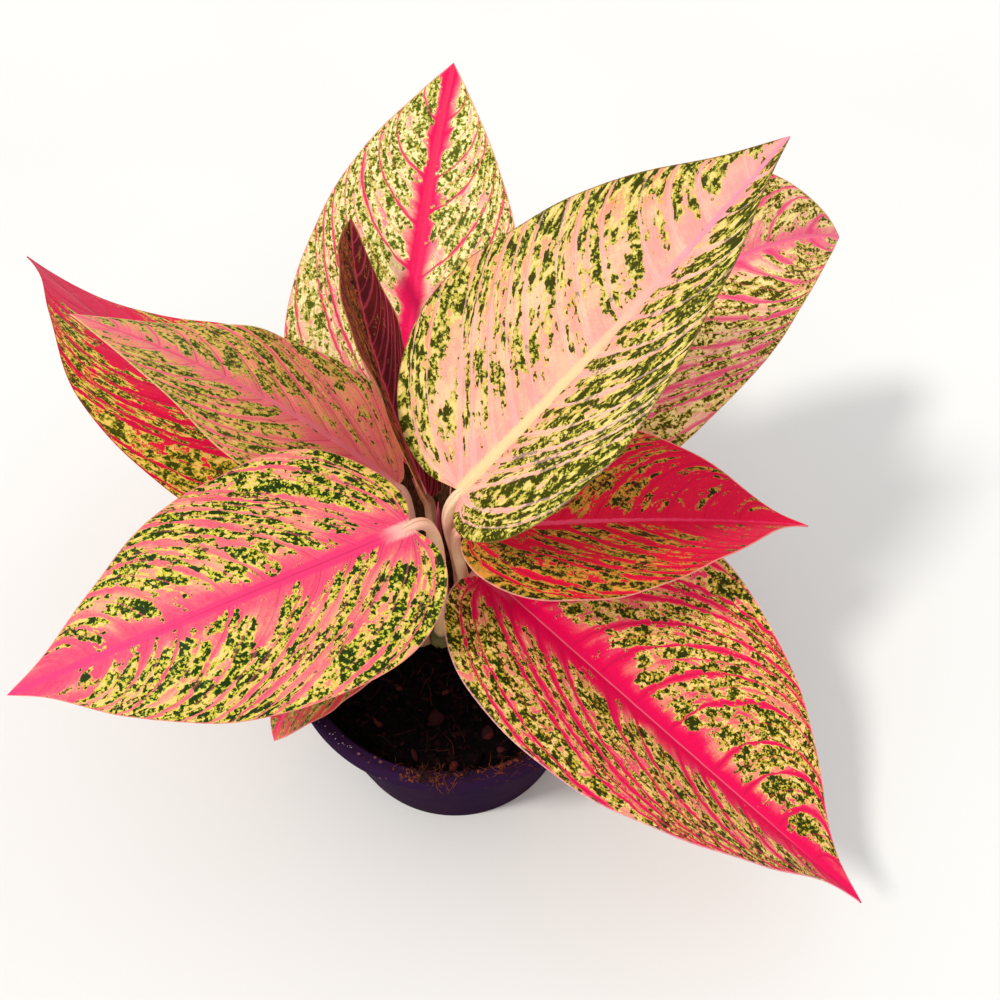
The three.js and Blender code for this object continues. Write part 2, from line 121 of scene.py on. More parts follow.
# Place and size of each bark chip
BARK_CHIPS = [
    (-6, -36, 4.2), (-14, -52, 3.4), (16, -42, 3.6), (-30, -38, 3.2), (2, -56, 2.8),
    (22, -50, 2.8), (-2, -24, 3.0), (30, 20, 3.6), (-34, 22, 3.4), (-46, -12, 3.0),
    (8, 46, 3.8), (-18, 48, 3.2), (44, -6, 3.4), (-22, -22, 2.6), (10, -30, 2.4),
]
# Spills on the rim: middle bearing, spread in degrees and count, and for crumbs how far out
CRUMB_SPILLS = [(-98, 3.5, 90, 64.5, 70), (-84, 9, 50, 62.5, 66.5), (-66, 7, 110, 61.5, 65.5)]
FIBRE_SPILLS = [(-98, 3.5, 26), (-86, 10, 30), (-66, 7, 40)]
# Long threads that hang over the rim: bearing and length
HANGING_THREADS = [(-92, 15), (-90.5, 12), (-94, 9), (-88, 10)]

# Blades
BLADE_OUTLINE = [
    (0, 0), (-0.035, 0.28), (0, 0.62), (0.12, 0.91), (0.31, 1),
    (0.55, 0.86), (0.75, 0.56), (0.9, 0.24), (1, 0),
]
TIP_SLIMMING = [0, 0, 0, 0, 0, 0, 0.04, 0.085, 0]
OUTLINE_ASPECT = 0.29
OUTLINE_STEPS = 30
MIDRIB_STEPS = 400
WAVE_HEIGHT = 1.2
WAVE_COUNT = 3
WAVE_SHIFT = 2
WAVE_POWER = 3
BLADE_ROWS = 210
HALF_COLUMNS = 27
COLUMN_POWER = 1.35
MARGIN_THICKNESS = 0.4
MIDRIB_THICKNESS = 0.7
MIDRIB_DEPTH = 1.6
RIDGE_HEIGHT = 0.5
RIB_NARROWING = 0.7
CREASE_DEPTH = 0.3
CREASE_WIDTH = 0.55
RIPPLE_HEIGHT = 0.45
RIPPLE_COUNT = 6.5

# Veins
VEIN_START_POWER = 1.9
VEIN_SWEEP_POWER = 1.5
VEIN_RELIEF = 0.38
VEIN_SWELL_WIDTH = 3.2
VEIN_PITCH_LIMITS = (0.3, 30)
VEIN_JITTER = 0.2
VEIN_CROWDING = 1.1
LAST_VEIN = 0.94
FAN_VEINS = 2.55
FAN_HALVINGS = 13
LOBE_VEIN_BACK = 0.04
# The two halves of a blade lie this many veins apart in the mottling
HALVES_APART = 40
RIB_TIP_SHARE = 0.3
SHADE_SHARE = 0.35

# Room for the blade's upper face in the flat layout, its margin and the width of its rim
FLAT_SIZE = (0.46, 0.96)
FLAT_MARGIN = 0.02
FLAT_RIM = 0.004

# Each leaf as in the model: base, length and half widths in millimetres, angles in degrees.
# Foot is the petiole's bearing and height on the cane, and bend how it rises and leads in.
LEAVES = {
    "front_left": dict(
        base=(-12, -12, 169), length=151, half_width=(44, 47), heading=215, sweep=-25,
        pitch=9, droop=35, roll=-8, twist=-12, fold=(-6, -3), cup=(17, -10),
        belly=(-0.1, -0.1), foot=(270, 90), bend=(30, 15), taper=0.9),
    "upper_right": dict(
        base=(6, 2.5, 171), length=163, half_width=(56, 46), heading=24, sweep=15,
        pitch=44, droop=9, roll=-1, twist=-8, fold=(27, 28), cup=(-11, 28),
        belly=(0, -0.1), foot=(46, 88), bend=(40, 15), taper=0.3),
    "right": dict(
        base=(8, -2.5, 154.5), length=144, half_width=(43, 42), heading=13, sweep=-5,
        pitch=-8, droop=8, roll=3, twist=-22, fold=(24, 23), cup=(-14, 29),
        belly=(0, -0.1), foot=(0, 80), bend=(40, 8), taper=1),
    "front_right": dict(
        base=(15, -4, 127), length=199, half_width=(68, 56), heading=-35, sweep=4,
        pitch=-23, droop=5, roll=-8, twist=-20, fold=(17, 20), cup=(-47, 25),
        belly=(0.1, -0.1), foot=(300, 74), bend=(30, 5), taper=0.9),
    "back": dict(
        base=(-25, 60, 123), length=174, half_width=(52, 49), heading=83, sweep=-5,
        pitch=46, droop=19, roll=1, twist=1, fold=(7, 13), cup=(1, 11),
        belly=(0, 0), foot=(112, 84), bend=(20, 18), taper=0),
    "right_back": dict(
        base=(18, 65, 112), length=215, half_width=(56, 55), heading=28, sweep=8,
        pitch=58, droop=88, roll=17, twist=27, fold=(22, 17), cup=(30, 15),
        belly=(0.1, 0), foot=(80, 76), bend=(15, 20), taper=0),
    "left": dict(
        base=(-22, 35, 133), length=146, half_width=(40, 44), heading=174, sweep=-14,
        pitch=53, droop=50, roll=17, twist=14, fold=(6, -2), cup=(42, -29),
        belly=(-0.2, 0), foot=(178, 86), bend=(25, 10), taper=0),
    "left_back": dict(
        base=(-42, 56, 118), length=197, half_width=(60, 58), heading=154, sweep=-14,
        pitch=4, droop=-9, roll=12, twist=44, fold=(8, 3), cup=(38, -31),
        belly=(0, 0), foot=(145, 72), bend=(15, 10), taper=0.8),
    "low": dict(
        base=(-19, -9, 104), length=86, half_width=(20, 21), heading=211, sweep=0,
        pitch=2, droop=76, roll=0, twist=0, fold=(12, 12), cup=(10, 10),
        belly=(0, 0), foot=(212, 72), bend=(15, 10), taper=0),
    "young": dict(
        base=(-7.5, 12, 154), length=130, half_width=(22, 17), heading=122, sweep=-28,
        pitch=44, droop=46, roll=40, twist=-14, fold=(30, 12), cup=(-11, 16),
        belly=(0, 0), foot=(150, 96), bend=(30, 6), taper=0),
}

# How each leaf is coloured. Lengths are in millimetres. Cover sets how much of the blade is
# mottled and density how much of the mottling is green, and side adds to them on each half.
COMMON_LOOK = dict(
    veins=9, vein_sweep=0.5, bow=1.6, vein_width=0.5, vein_tone=0xEE5A80, vein_gain=0.8,
    fine_gain=0.3, halo_width=1.5, halo_hot=0.3, pink=0xEE6C76, pale=0xF2A884, hot=0xE83A6C,
    deep=0xB81444, rib=0xE83A6E, rib_base=0xF2A09A, rib_tip=0xEC3E74, rib_width=1.4,
    rib_shine=0.0, crease=0.0, clear_width=8, clear_tip_share=0.6, clear_gain=0.5, clear_hot=0.5,
    cream=0xEECA74, warm=0xEFA868, lime=0xC6C034, green=0x4E6212, dark=0x20340A, cover=0.3,
    density=0.02, side=(0.0, 0.0), side_green=(0.0, 0.0), edge_cover=0.05, base_cover=0.25,
    root_clear=0.0, coarse=1.0, lace=1.0, cell=0.5, tip_from=0.97, tip_clear=0.5, tip_hot=0.5,
    rim_gain=(0.0, 0.0), edge=0xE58878,
)
LOOKS = {
    "front_left": dict(
        seed=11, vein_sweep=0.46, vein_gain=0.3, halo_hot=0.35, rib_base=0xF5B4AA, rib_width=2.9,
        crease=0.7, clear_gain=0.6, clear_hot=0.8, cover=0.27, side=(0.12, 0.0),
        side_green=(0.0, 0.03), edge_cover=0.0, base_cover=0.3, tip_from=0.74),
    "upper_right": dict(
        seed=23, veins=11, vein_sweep=0.42, vein_width=0.8, vein_tone=0xF8C4BC, vein_gain=0.35,
        fine_gain=0.04, halo_width=1.2, halo_hot=0.0, pink=0xF2A090, pale=0xF2C498, hot=0xF2949A,
        deep=0xF08A80, rib=0xEFCB98, rib_base=0xEFCB98, rib_tip=0xEE94A4, rib_width=3.0,
        clear_width=10, clear_gain=0.45, clear_hot=0.3, cream=0xE9CE82, warm=0xEDAC5C,
        lime=0xC2B648, green=0x686C18, dark=0x3A3C06, cover=0.08, density=0.0, side=(0.0, 0.38),
        side_green=(0.0, 0.12), edge_cover=0.35, base_cover=0.1, coarse=1.5, cell=0.3,
        tip_from=0.7, tip_clear=0.0, tip_hot=0.4, rim_gain=(0.75, 0.0), edge=0x7A5A30),
    "right": dict(
        seed=37, vein_tone=0xC80A34, vein_gain=0.4, pink=0xD81038, pale=0xD8242C, hot=0xDE0840,
        deep=0x8C0A24, rib=0xEC4A6E, rib_tip=0xE8305E, crease=0.1, clear_width=5, clear_gain=0.6,
        cream=0xD9923E, warm=0xC8642C, lime=0xA88A2A, green=0x6A5C14, dark=0x2A2606, cover=0.28,
        side=(0.08, 0.0), base_cover=0.2, tip_from=0.42, tip_clear=0.6, tip_hot=0.7,
        edge=0xF0A090),
    "front_right": dict(
        seed=41, veins=10, vein_sweep=0.56, bow=2.0, vein_width=0.55, vein_tone=0xDE1450,
        vein_gain=0.85, halo_width=1.6, halo_hot=0.9, pink=0xEC4068, pale=0xF6967E, hot=0xEE0A54,
        rib=0xE40A50, rib_base=0xE85070, rib_tip=0xEC0E56, rib_width=4.2, rib_shine=0.35,
        clear_width=9, clear_gain=0.85, clear_hot=1.0, cream=0xFAD486, lime=0xC8B030,
        green=0x606618, dark=0x2C3406, coarse=0.4, lace=1.5, tip_from=0.93, edge=0xF4A8B0),
    "back": dict(
        seed=53, veins=7, vein_sweep=0.55, vein_width=0.45, vein_tone=0xE01E58, halo_width=0.8,
        halo_hot=0.5, pink=0xF07C90, pale=0xF8CFA8, hot=0xE61458, rib=0xE61058, rib_base=0xF0909A,
        rib_tip=0xE8305A, rib_width=3.4, clear_width=6, clear_gain=0.85, clear_hot=1.0,
        cream=0xF6E6AC, lime=0xCABE52, green=0x7C842C, dark=0x4E5814, cover=0.34, density=-0.1,
        root_clear=0.22, coarse=0.45, edge=0xEE9C88),
    "right_back": dict(
        seed=61, vein_sweep=0.55, vein_tone=0xE04470, vein_gain=0.6, halo_width=1.7, halo_hot=0.7,
        pink=0xF2808E, pale=0xF6C8A0, hot=0xEC4078, rib=0xF0708E, rib_tip=0xF0708E, rib_width=2.6,
        crease=0.2, clear_width=6.0, cream=0xF8DC98, lime=0xCCB650, green=0x7C7218, dark=0x444006,
        density=-0.03, edge=0xD0905E),
    "left": dict(
        seed=71, vein_tone=0xE05468, vein_gain=0.5, halo_width=1.3, pink=0xF0767A, pale=0xEA9C70,
        hot=0xF06680, rib=0xF08090, rib_tip=0xEE5070, rib_width=2.4, crease=0.2, clear_width=7,
        clear_hot=0.45, cream=0xDCB860, lime=0xB4A43C, green=0x60701E, dark=0x344410, cover=0.32,
        density=-0.03, base_cover=-0.3, root_clear=0.35, coarse=0.5, tip_from=0.95, edge=0xE0C080),
    "left_back": dict(
        seed=83, veins=8, vein_sweep=0.58, vein_width=0.6, vein_tone=0xD01038, halo_hot=0.9,
        pink=0xE41040, pale=0xE62A3C, hot=0xE00648, deep=0x9C0A2C, rib=0xD0083E, rib_tip=0xCA0A36,
        rib_width=3.4, clear_width=22, clear_tip_share=0.9, clear_gain=1.0, clear_hot=1.0,
        cream=0xF2D068, lime=0xC8B430, green=0x70741C, dark=0x3A440C, cover=0.24, density=0.05,
        edge_cover=0.14, tip_from=0.78, tip_clear=0.45, tip_hot=1.0, edge=0xC01838),
    "low": dict(
        seed=97, veins=5, vein_tone=0xD02848, vein_gain=0.5, halo_width=1.2, pink=0xD8404A,
        pale=0xD86048, hot=0xD02040, rib=0xD83A50, crease=0.2, clear_width=2.5, cream=0xC09A48,
        lime=0x9A9038, green=0x5E6C24, dark=0x2C4A1C, cover=0.05, density=0.0, tip_from=0.9),
    "young": dict(
        seed=101, veins=8, vein_width=0.4, vein_tone=0xD0485E, vein_gain=0.45, halo_width=0.7,
        pink=0x500A14, pale=0x64140E, hot=0x841820, deep=0x2A040A, rib=0xB83C4C, rib_tip=0xB83A48,
        rib_width=0.9, clear_width=1.2, cream=0xA85C22, warm=0x8C3418, lime=0x74441A,
        green=0x40260C, dark=0x1E0408, cover=-0.5, density=0.0, side=(0.9, 0.0), edge_cover=0.0,
        base_cover=0.0, edge=0xA86A3E),
}


# Petiole colours at the foot, the middle and the end
PETIOLE_TONES = {
    "front_left": (0xE8C08C, 0xF3CFA6, 0xF2B8A4), "upper_right": (0xE8B494, 0xF4C4AC, 0xF5D8A8),
    "right": (0xE0B080, 0xF0CCA0, 0xE8A090), "front_right": (0xD89078, 0xE89C8C, 0xE0607A),
    "young": (0xE8D0A0, 0xD8B080, 0x7E3028), "low": (0xD8A080, 0xD88070, 0xC84850),
}
DEFAULT_TONES = (0xE4B890, 0xF0C8AC, 0xF0A8A0)

# Other colours
TONES = dict(
    # The rib crease tone is painted shade in the midrib's groove
    island_ring=0xC8803C, margin=0xE88A5C, rib_crease_shade=0x9A1C48, rib_shine=0xFF9AA8,
    under_side=0xD79C86,
    stalk_streak=0xE88C86, stalk_fleck=0xB8A860,
    spike_foot=0xC8606A, spike=0x8E1228, spike_tip=0xE0507A, spike_streak=0xB02840,
    cane=0x6E7038, cane_pale=0xA89860, cane_fibre=0x5A4428,
    # The sheath tones paint the deep shade inside the crown
    shade_sheath_dark=0x2A170D, shade_sheath_pale=0x6A4226, root=0xB89468, root_pale=0xE0CDAA,
    # The rim tone is the lip's own colour lightened with painted sheen
    pot_wall=0x280F2A, pot_rim_with_sheen=0x2C1834, pot_cloud=0x201A40, pot_low=0x260E20,
    rim_dust=0x7A6878, wall_dust=0x4A4260, rim_speck=0xC8BCC0, rim_crumb=0x5A2C16,
    floor=0xE0E0DD, floor_pale=0xE6E6E3,
)
SOIL_TONES = (0x080405, 0x1E1010, 0x3A1A1A)
CRUMB_TONES = (0x0C0606, 0x2A1616, 0x4A2024)
BARK_TONES = (0x2E0E10, 0x541C1C, 0x1A0808)
COIR_TONES = (0x2C1010, 0x4A1C18, 0x6A3424)
RUST_TONES = (0x2E140E, 0x7A3C22, 0x4C2216)
SPECK_TONES = (0x8A7C84, 0xCFC4C4, 0xB0A4A8)

# Light and camera
FLOOR_REACH = 4000
SKY_COLOUR = (0.985, 0.99, 1.0, 1)
SKY_STRENGTH = 0.9
SUN_COLOUR = (1.0, 0.965, 0.925)
SUN_STRENGTH = 1.75
SUN_WIDTH = 9
SUN_HEADING = (0.54, 0.3, -0.80)
CAMERA_PLACE = (20, -234, 469)
CAMERA_PITCH = 52
CAMERA_ROLL = 0.5
SENSOR_WIDTH = 36
LENS_LENGTH = 37.8


# Shader building

def linear(colour):
    """A colour given as 0xRRGGBB, as the linear values that Blender keeps."""
    made = []
    for shift in (16, 8, 0):
        c = ((colour >> shift) & 255) / 255
        made.append(c / 12.92 if c <= 0.04045 else ((c + 0.055) / 1.055) ** 2.4)
    return (*made, 1.0)


class Field:
    """A number or vector that changes over the surface: one output of a node."""

    def __init__(self, graph, socket):
        self.graph = graph
        self.socket = socket

    def __add__(self, other):
        return self.graph.math("ADD", self, other)

    def __sub__(self, other):
        return self.graph.math("SUBTRACT", self, other)

    def __mul__(self, other):
        return self.graph.math("MULTIPLY", self, other)

    def __truediv__(self, other):
        return self.graph.math("DIVIDE", self, other)

    def __neg__(self):
        return self * -1

    __radd__ = __add__
    __rmul__ = __mul__

    def __rsub__(self, other):
        return self.graph.math("SUBTRACT", other, self)

    def size(self):
        return self.graph.math("ABSOLUTE", self)

    def above(self, low, high):
        """0 below low and 1 above high, smooth in between, or the other way round where high is
        the lower one."""
        node = self.graph.node("ShaderNodeMapRange", interpolation_type="SMOOTHSTEP")
        self.graph.put(node.inputs["Value"], self)
        self.graph.put(node.inputs["From Min"], low)
        self.graph.put(node.inputs["From Max"], high)
        return Field(self.graph, node.outputs["Result"])


class Graph:
    """A material's node tree, built by arithmetic on fields."""

    def __init__(self, name):
        self.material = bpy.data.materials.new(name)
        self.material.use_nodes = True
        self.tree = self.material.node_tree
        self.shader = self.tree.nodes["Principled BSDF"]

    def node(self, kind, **settings):
        made = self.tree.nodes.new(kind)
        for name, value in settings.items():
            setattr(made, name, value)
        return made

    def put(self, socket, value):
        if isinstance(value, Field):
            self.tree.links.new(value.socket, socket)
        else:
            socket.default_value = value

    def math(self, operation, a, b=0.0):
        node = self.node("ShaderNodeMath", operation=operation)
        self.put(node.inputs[0], a)
        self.put(node.inputs[1], b)
        return Field(self, node.outputs[0])

    def attribute(self, name):
        node = self.node("ShaderNodeAttribute", attribute_name=name)
        return self.split(Field(self, node.outputs["Vector"]))

    def split(self, vector):
        node = self.node("ShaderNodeSeparateXYZ")
        self.put(node.inputs[0], vector)
        return [Field(self, node.outputs[k]) for k in range(3)]

    def join(self, x, y, z):
        node = self.node("ShaderNodeCombineXYZ")
        for socket, value in zip(node.inputs, (x, y, z)):
            self.put(socket, value)
        return Field(self, node.outputs[0])

    def noise(self, vector, scale, detail, roughness=0.5):
        node = self.node("ShaderNodeTexNoise")
        self.put(node.inputs["Vector"], vector)
        for name, value in (("Scale", scale), ("Detail", detail), ("Roughness", roughness)):
            node.inputs[name].default_value = value
        return Field(self, node.outputs["Fac"])

    def uneven(self, *settings):
        """Noise round 0."""
        return self.noise(*settings) - 0.5

    def cells(self, vector, size, dimensions="3D"):
        """Irregular cells of about that size: the distance from a cell's middle, and its
        random number."""
        node = self.node("ShaderNodeTexVoronoi", voronoi_dimensions=dimensions)
        self.put(node.inputs["Vector"], vector)
        node.inputs["Scale"].default_value = 1 / size
        random = self.split(Field(self, node.outputs["Color"]))[0]
        return Field(self, node.outputs["Distance"]), random

    def coordinates(self):
        """The place on the piece, in metres."""
        node = self.node("ShaderNodeTexCoord")
        return self.split(Field(self, node.outputs["Object"]))

    def millimetres(self):
        return self.join(*(side / MM for side in self.coordinates()))

    def mix(self, share, a, b):
        node = self.node("ShaderNodeMix", data_type="RGBA")
        self.put(node.inputs[0], share)
        self.put(node.inputs[6], linear(a) if isinstance(a, int) else a)
        self.put(node.inputs[7], linear(b) if isinstance(b, int) else b)
        return Field(self, node.outputs[2])

    def layered(self, colour, *layers):
        """A colour with others laid over it in turn, each given with its share."""
        for share, tone in layers:
            colour = self.mix(share, colour, tone)
        return colour

    def finish(self, colour, roughness, height=None, depth=0.0, specular=0.5, **settings):
        """Joins colour, roughness and a relief of that depth in metres to the shader."""
        self.put(self.shader.inputs["Base Color"], colour)
        self.put(self.shader.inputs["Roughness"], roughness)
        self.shader.inputs["Specular IOR Level"].default_value = specular
        for name, value in settings.items():
            self.shader.inputs[name.replace("_", " ").title()].default_value = value
        if height is not None:
            bump = self.node("ShaderNodeBump")
            bump.inputs["Distance"].default_value = depth
            self.put(bump.inputs["Height"], height)
            self.tree.links.new(bump.outputs["Normal"], self.shader.inputs["Normal"])
        return self.material


# Meshes

def make_object(
        name, points, faces, materials, groups=None, fields=None, sharp=None, layout=None):
    """A smooth mesh object. Points are in millimetres. Groups gives each face's material,
    fields the vectors stored at the vertices, sharp the vertex loops that stay crisp, and
    layout the flat place of every face's corners."""
    mesh = bpy.data.meshes.new(name)
    mesh.from_pydata((np.asarray(points) * MM).tolist(), [], faces)
    for material in materials:
        mesh.materials.append(material)
    mesh.polygons.foreach_set("use_smooth", [True] * len(mesh.polygons))
    if groups is not None:
        mesh.polygons.foreach_set("material_index", groups)
    for field, values in (fields or {}).items():
        stored = mesh.attributes.new(field, "FLOAT_VECTOR", "POINT")
        stored.data.foreach_set("vector", np.asarray(values, np.float32).ravel())
    if layout is not None:
        flat = mesh.uv_layers.new(name=FLAT_MAP)
        flat.data.foreach_set("uv", np.asarray(layout, np.float32).ravel())
    if sharp is not None:
        pairs = np.zeros(len(mesh.edges) * 2, np.int32)
        mesh.edges.foreach_get("vertices", pairs)
        pairs = pairs.reshape(-1, 2)
        crisp = (sharp[pairs[:, 0]] > 0) & (sharp[pairs[:, 0]] == sharp[pairs[:, 1]])
        stored = mesh.attributes.new("sharp_edge", "BOOLEAN", "EDGE")
        stored.data.foreach_set("value", crisp)
    made = bpy.data.objects.new(name, mesh)
    bpy.context.scene.collection.objects.link(made)
    return made


def place(piece, slot, *nodes):
    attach(piece, BODY)
    if nodes:
        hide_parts(*nodes)
    return piece


def unit(vectors):
    return vectors / np.maximum(np.linalg.norm(vectors, axis=-1, keepdims=True), 1e-9)


def polar(radius, turn):
    return radius * math.cos(turn), radius * math.sin(turn)


def distance_along(path):
    steps = np.linalg.norm(np.diff(path, axis=0), axis=1)
    return np.concatenate([[0], np.cumsum(steps)])


def tube(path, radius_at, sides, first_side):
    """Points, faces and fields of a closed tube. Radius_at takes the share along the path and
    the angle from first_side, and the fields are the distance along, the angle and the share."""
    path = np.asarray(path, float)
    along = distance_along(path)
    tangent = unit(np.gradient(path, axis=0))
    side = np.zeros_like(path)
    current = np.asarray(first_side, float)
    for i in range(len(path)):
        current = current - tangent[i] * (current @ tangent[i])
        current /= np.linalg.norm(current)
        side[i] = current
    other = np.cross(tangent, side)
    angle = np.linspace(0, 2 * math.pi, sides, endpoint=False)
    share = (along / along[-1])[:, None]
    radius = radius_at(share, np.broadcast_to(angle, (len(path), sides)))
    spoke = (
        np.cos(angle)[None, :, None] * side[:, None] + np.sin(angle)[None, :, None] * other[:, None])
    ring = path[:, None] + radius[..., None] * spoke
    count = len(path)
    points = np.concatenate([ring.reshape(-1, 3), path[:1], path[-1:]])
    faces = []
    for k in range(sides):
        after = (k + 1) % sides
        faces.append((count * sides, after, k))
        faces.append((count * sides + 1, (count - 1) * sides + k, (count - 1) * sides + after))
        for i in range(count - 1):
            a, b = i * sides + k, i * sides + after
            faces.append((a, b, b + sides, a + sides))
    fields = np.zeros((len(points), 3))
    fields[:-2, 0] = np.repeat(along, sides)
    fields[:-2, 1] = np.tile(angle, count)
    fields[:-2, 2] = np.repeat(share[:, 0], sides)
    fields[-1] = along[-1], 0, 1
    return points, faces, fields


def bezier(a, b, c, d, steps):
    t = np.linspace(0, 1, steps + 1)[:, None]
    a, b, c, d = (np.asarray(p, float) for p in (a, b, c, d))
    return a * (1 - t) ** 3 + 3 * b * t * (1 - t) ** 2 + 3 * c * t * t * (1 - t) + d * t ** 3


def merged(parts):
    """Several (points, faces) as one."""
    points, faces, start = [], [], 0
    for some_points, some_faces in parts:
        points.append(some_points)
        faces.extend(tuple(start + i for i in face) for face in some_faces)
        start += len(some_points)
    return np.concatenate(points), faces


def place_all(name, parts, material, slot):
    return place(make_object(name, *merged(parts), [material]), slot)


# Leaves

def outline_curve(taper):
    """The outline at many points, with each point's share of its length."""
    knots = np.array(BLADE_OUTLINE, float)
    knots[:, 1] -= np.array(TIP_SLIMMING) * taper
    ends = np.vstack([2 * knots[0] - knots[1], knots, 2 * knots[-1] - knots[-2]])
    t = np.linspace(0, 1, OUTLINE_STEPS, endpoint=False)[:, None]
    curve = []
    for p0, p1, p2, p3 in zip(ends, ends[1:], ends[2:], ends[3:]):
        curve.append(0.5 * (
            2 * p1 + (p2 - p0) * t + (2 * p0 - 5 * p1 + 4 * p2 - p3) * t ** 2
            + (3 * p1 - p0 - 3 * p2 + p3) * t ** 3))
    curve = np.vstack([*curve, knots[-1:]])
    steps = np.hypot(np.diff(curve[:, 0]), np.diff(curve[:, 1]) * OUTLINE_ASPECT)
    along = np.concatenate([[0], np.cumsum(steps)])
    return along / along[-1], curve


def direction_at(leaf, x):
    heading = np.radians(leaf["heading"] + leaf["sweep"] * x)
    pitch = np.radians(leaf["pitch"] - leaf["droop"] * x)
    return np.stack([
        np.cos(pitch) * np.cos(heading), np.cos(pitch) * np.sin(heading), np.sin(pitch),
    ], -1)


def midrib_frame(leaf, x):
    """Origin, tangent, side and normal of the midrib at shares x of the length."""
    middles = (np.arange(MIDRIB_STEPS) + 0.5) / MIDRIB_STEPS
    chain = np.cumsum(direction_at(leaf, middles) * leaf["length"] / MIDRIB_STEPS, axis=0)
    chain = np.vstack([np.zeros(3), chain]) + np.array(leaf["base"], float)
    tangent = direction_at(leaf, x)
    heading = np.radians(leaf["heading"] + leaf["sweep"] * x)
    level = np.stack([-np.sin(heading), np.cos(heading), np.zeros_like(heading)], -1)
    up = np.cross(tangent, level)
    roll = np.radians(leaf["roll"] + leaf["twist"] * x)[..., None]
    side = level * np.cos(roll) + up * np.sin(roll)
    inside = np.clip(x, 0, 1)
    at = np.linspace(0, 1, MIDRIB_STEPS + 1)
    origin = np.stack([np.interp(inside, at, chain[:, k]) for k in range(3)], -1)
    origin = origin + tangent * ((x - inside) * leaf["length"])[..., None]
    return origin, tangent, side, np.cross(tangent, side)


def blade_surface(leaf, u, across, is_young):
    """The leaf's middle surface at shares u round the outline and across, from -1 at the right
    margin to 1 at the left one, with flat leaf coordinates in millimetres."""
    left = across > 0
    share = np.abs(across)
    width, fold, cup, belly = (
        np.where(left, *leaf[key]).astype(float) for key in ("half_width", "fold", "cup", "belly"))
    fold, cup = np.radians(fold), np.radians(cup)
    along, curve = outline_curve(leaf["taper"])
    outline_x = np.interp(u, along, curve[:, 0])
    outline_y = np.interp(u, along, curve[:, 1])
    lobe = np.zeros_like(outline_x) if is_young else np.minimum(outline_x, 0)
    margin_x = lobe + np.maximum(outline_x, 0) * (1 + belly * (1 - outline_x))
    start = u ** VEIN_START_POWER
    x = start + (margin_x - start) * share ** VEIN_SWEEP_POWER
    y = outline_y * share
    origin, _, side, normal = midrib_frame(leaf, x)
    out = width * (np.sin(fold) - np.sin(fold - cup * y)) / cup
    rise = width * (np.cos(fold - cup * y) - np.cos(fold)) / cup
    phase = 2 * math.pi * WAVE_COUNT * u + np.where(left, 0, WAVE_SHIFT)
    wave = WAVE_HEIGHT * np.sin(math.pi * u) * share ** WAVE_POWER * np.sin(phase)
    sign = np.where(left, 1, -1)
    points = origin + side * (sign * out)[..., None] + normal * (rise + wave)[..., None]
    return points, x, sign * y


def vein_places(look, left):
    """The shares along the midrib at which one half's main veins start."""
    rng = np.random.default_rng(look["seed"] * 2 + left)
    count = look["veins"]
    jitter = rng.uniform(-VEIN_JITTER, VEIN_JITTER, count)
    places = (np.arange(count) + 0.7 + jitter) / (count + 0.4)
    return LAST_VEIN * places ** VEIN_CROWDING


def vein_bow(look, inward, fan):
    """How far forward a vein has swept, 0 to 1, at a share of the way to the margin."""
    straight = (2.1 - look["bow"]) * (1 - fan) ** 2
    return (inward ** (look["bow"] + 6 * fan) + straight * inward) / (1 + straight)


def vein_field(leaf, look, x, y, left):
    """Where a point lies among the main veins: whole numbers are veins, and how far along the
    midrib its vein starts. The veins leave the midrib steeply and sweep forward to the margin,
    and the first ones fan out from the blade's base."""
    _, curve = outline_curve(leaf["taper"])
    phase = np.zeros_like(x)
    start = np.zeros_like(x)
    for half in (False, True):
        belly = leaf["belly"][0 if half else 1]
        widest = curve[:, 0] * (1 + belly * (1 - curve[:, 0]))
        margin_x = np.where(curve[:, 0] < 0, curve[:, 0], widest)
        lobe = int(np.argmin(margin_x))
        margin_y = np.interp(x, margin_x[lobe:], curve[lobe:, 1])
        inward = np.clip(np.abs(y) / np.maximum(margin_y, 1e-3), 0, 1)
        sweep = look["vein_sweep"]
        reach = sweep * vein_bow(look, inward, 0)
        origin = np.clip((x - reach) / (1 - reach), 0, 1)
        # Between the base's first vein, at 0, and the lobe's margin, at 1, by halving
        fan = np.full_like(x, 0.5)
        for step in range(2, 1 + FAN_HALVINGS):
            bowed = sweep * (1 - 0.5 * fan) * vein_bow(look, inward, fan)
            bowed = bowed - LOBE_VEIN_BACK * inward * fan
            fan = fan + np.where(bowed > x, 1, -1) * 0.5 ** step
        places = vein_places(look, half)
        ends = np.concatenate([[0], places, [1]])
        counts = np.concatenate([[0], np.arange(1, len(places) + 1), [len(places) + 0.7]])
        found = np.interp(origin, ends, counts) - FAN_VEINS * np.where(x < reach, fan, 0)
        phase = np.where(left == half, found, phase)
        start = np.where(left == half, origin, start)
    return phase, start


def flat_layout(x, y, faces):
    """The blade laid flat: its upper face on the left half of a unit square, its under face on
    the right half, and the strip between them as a narrow rim round the upper face."""
    count = len(x)
    place = np.stack([(y - y.min()) / np.ptp(y), (x - x.min()) / np.ptp(x)], -1)
    place = place * FLAT_SIZE + FLAT_MARGIN
    outward = unit(place - place.mean(axis=0)) * FLAT_RIM
    layout = []
    for face in faces:
        corners = np.array(face)
        under = corners >= count
        spot = place[corners % count]
        if under.all():
            spot = spot + (0.5, 0)
        elif under.any():
            spot = spot + outward[corners % count] * under[:, None]
        layout.append(spot)
    return np.concatenate(layout)


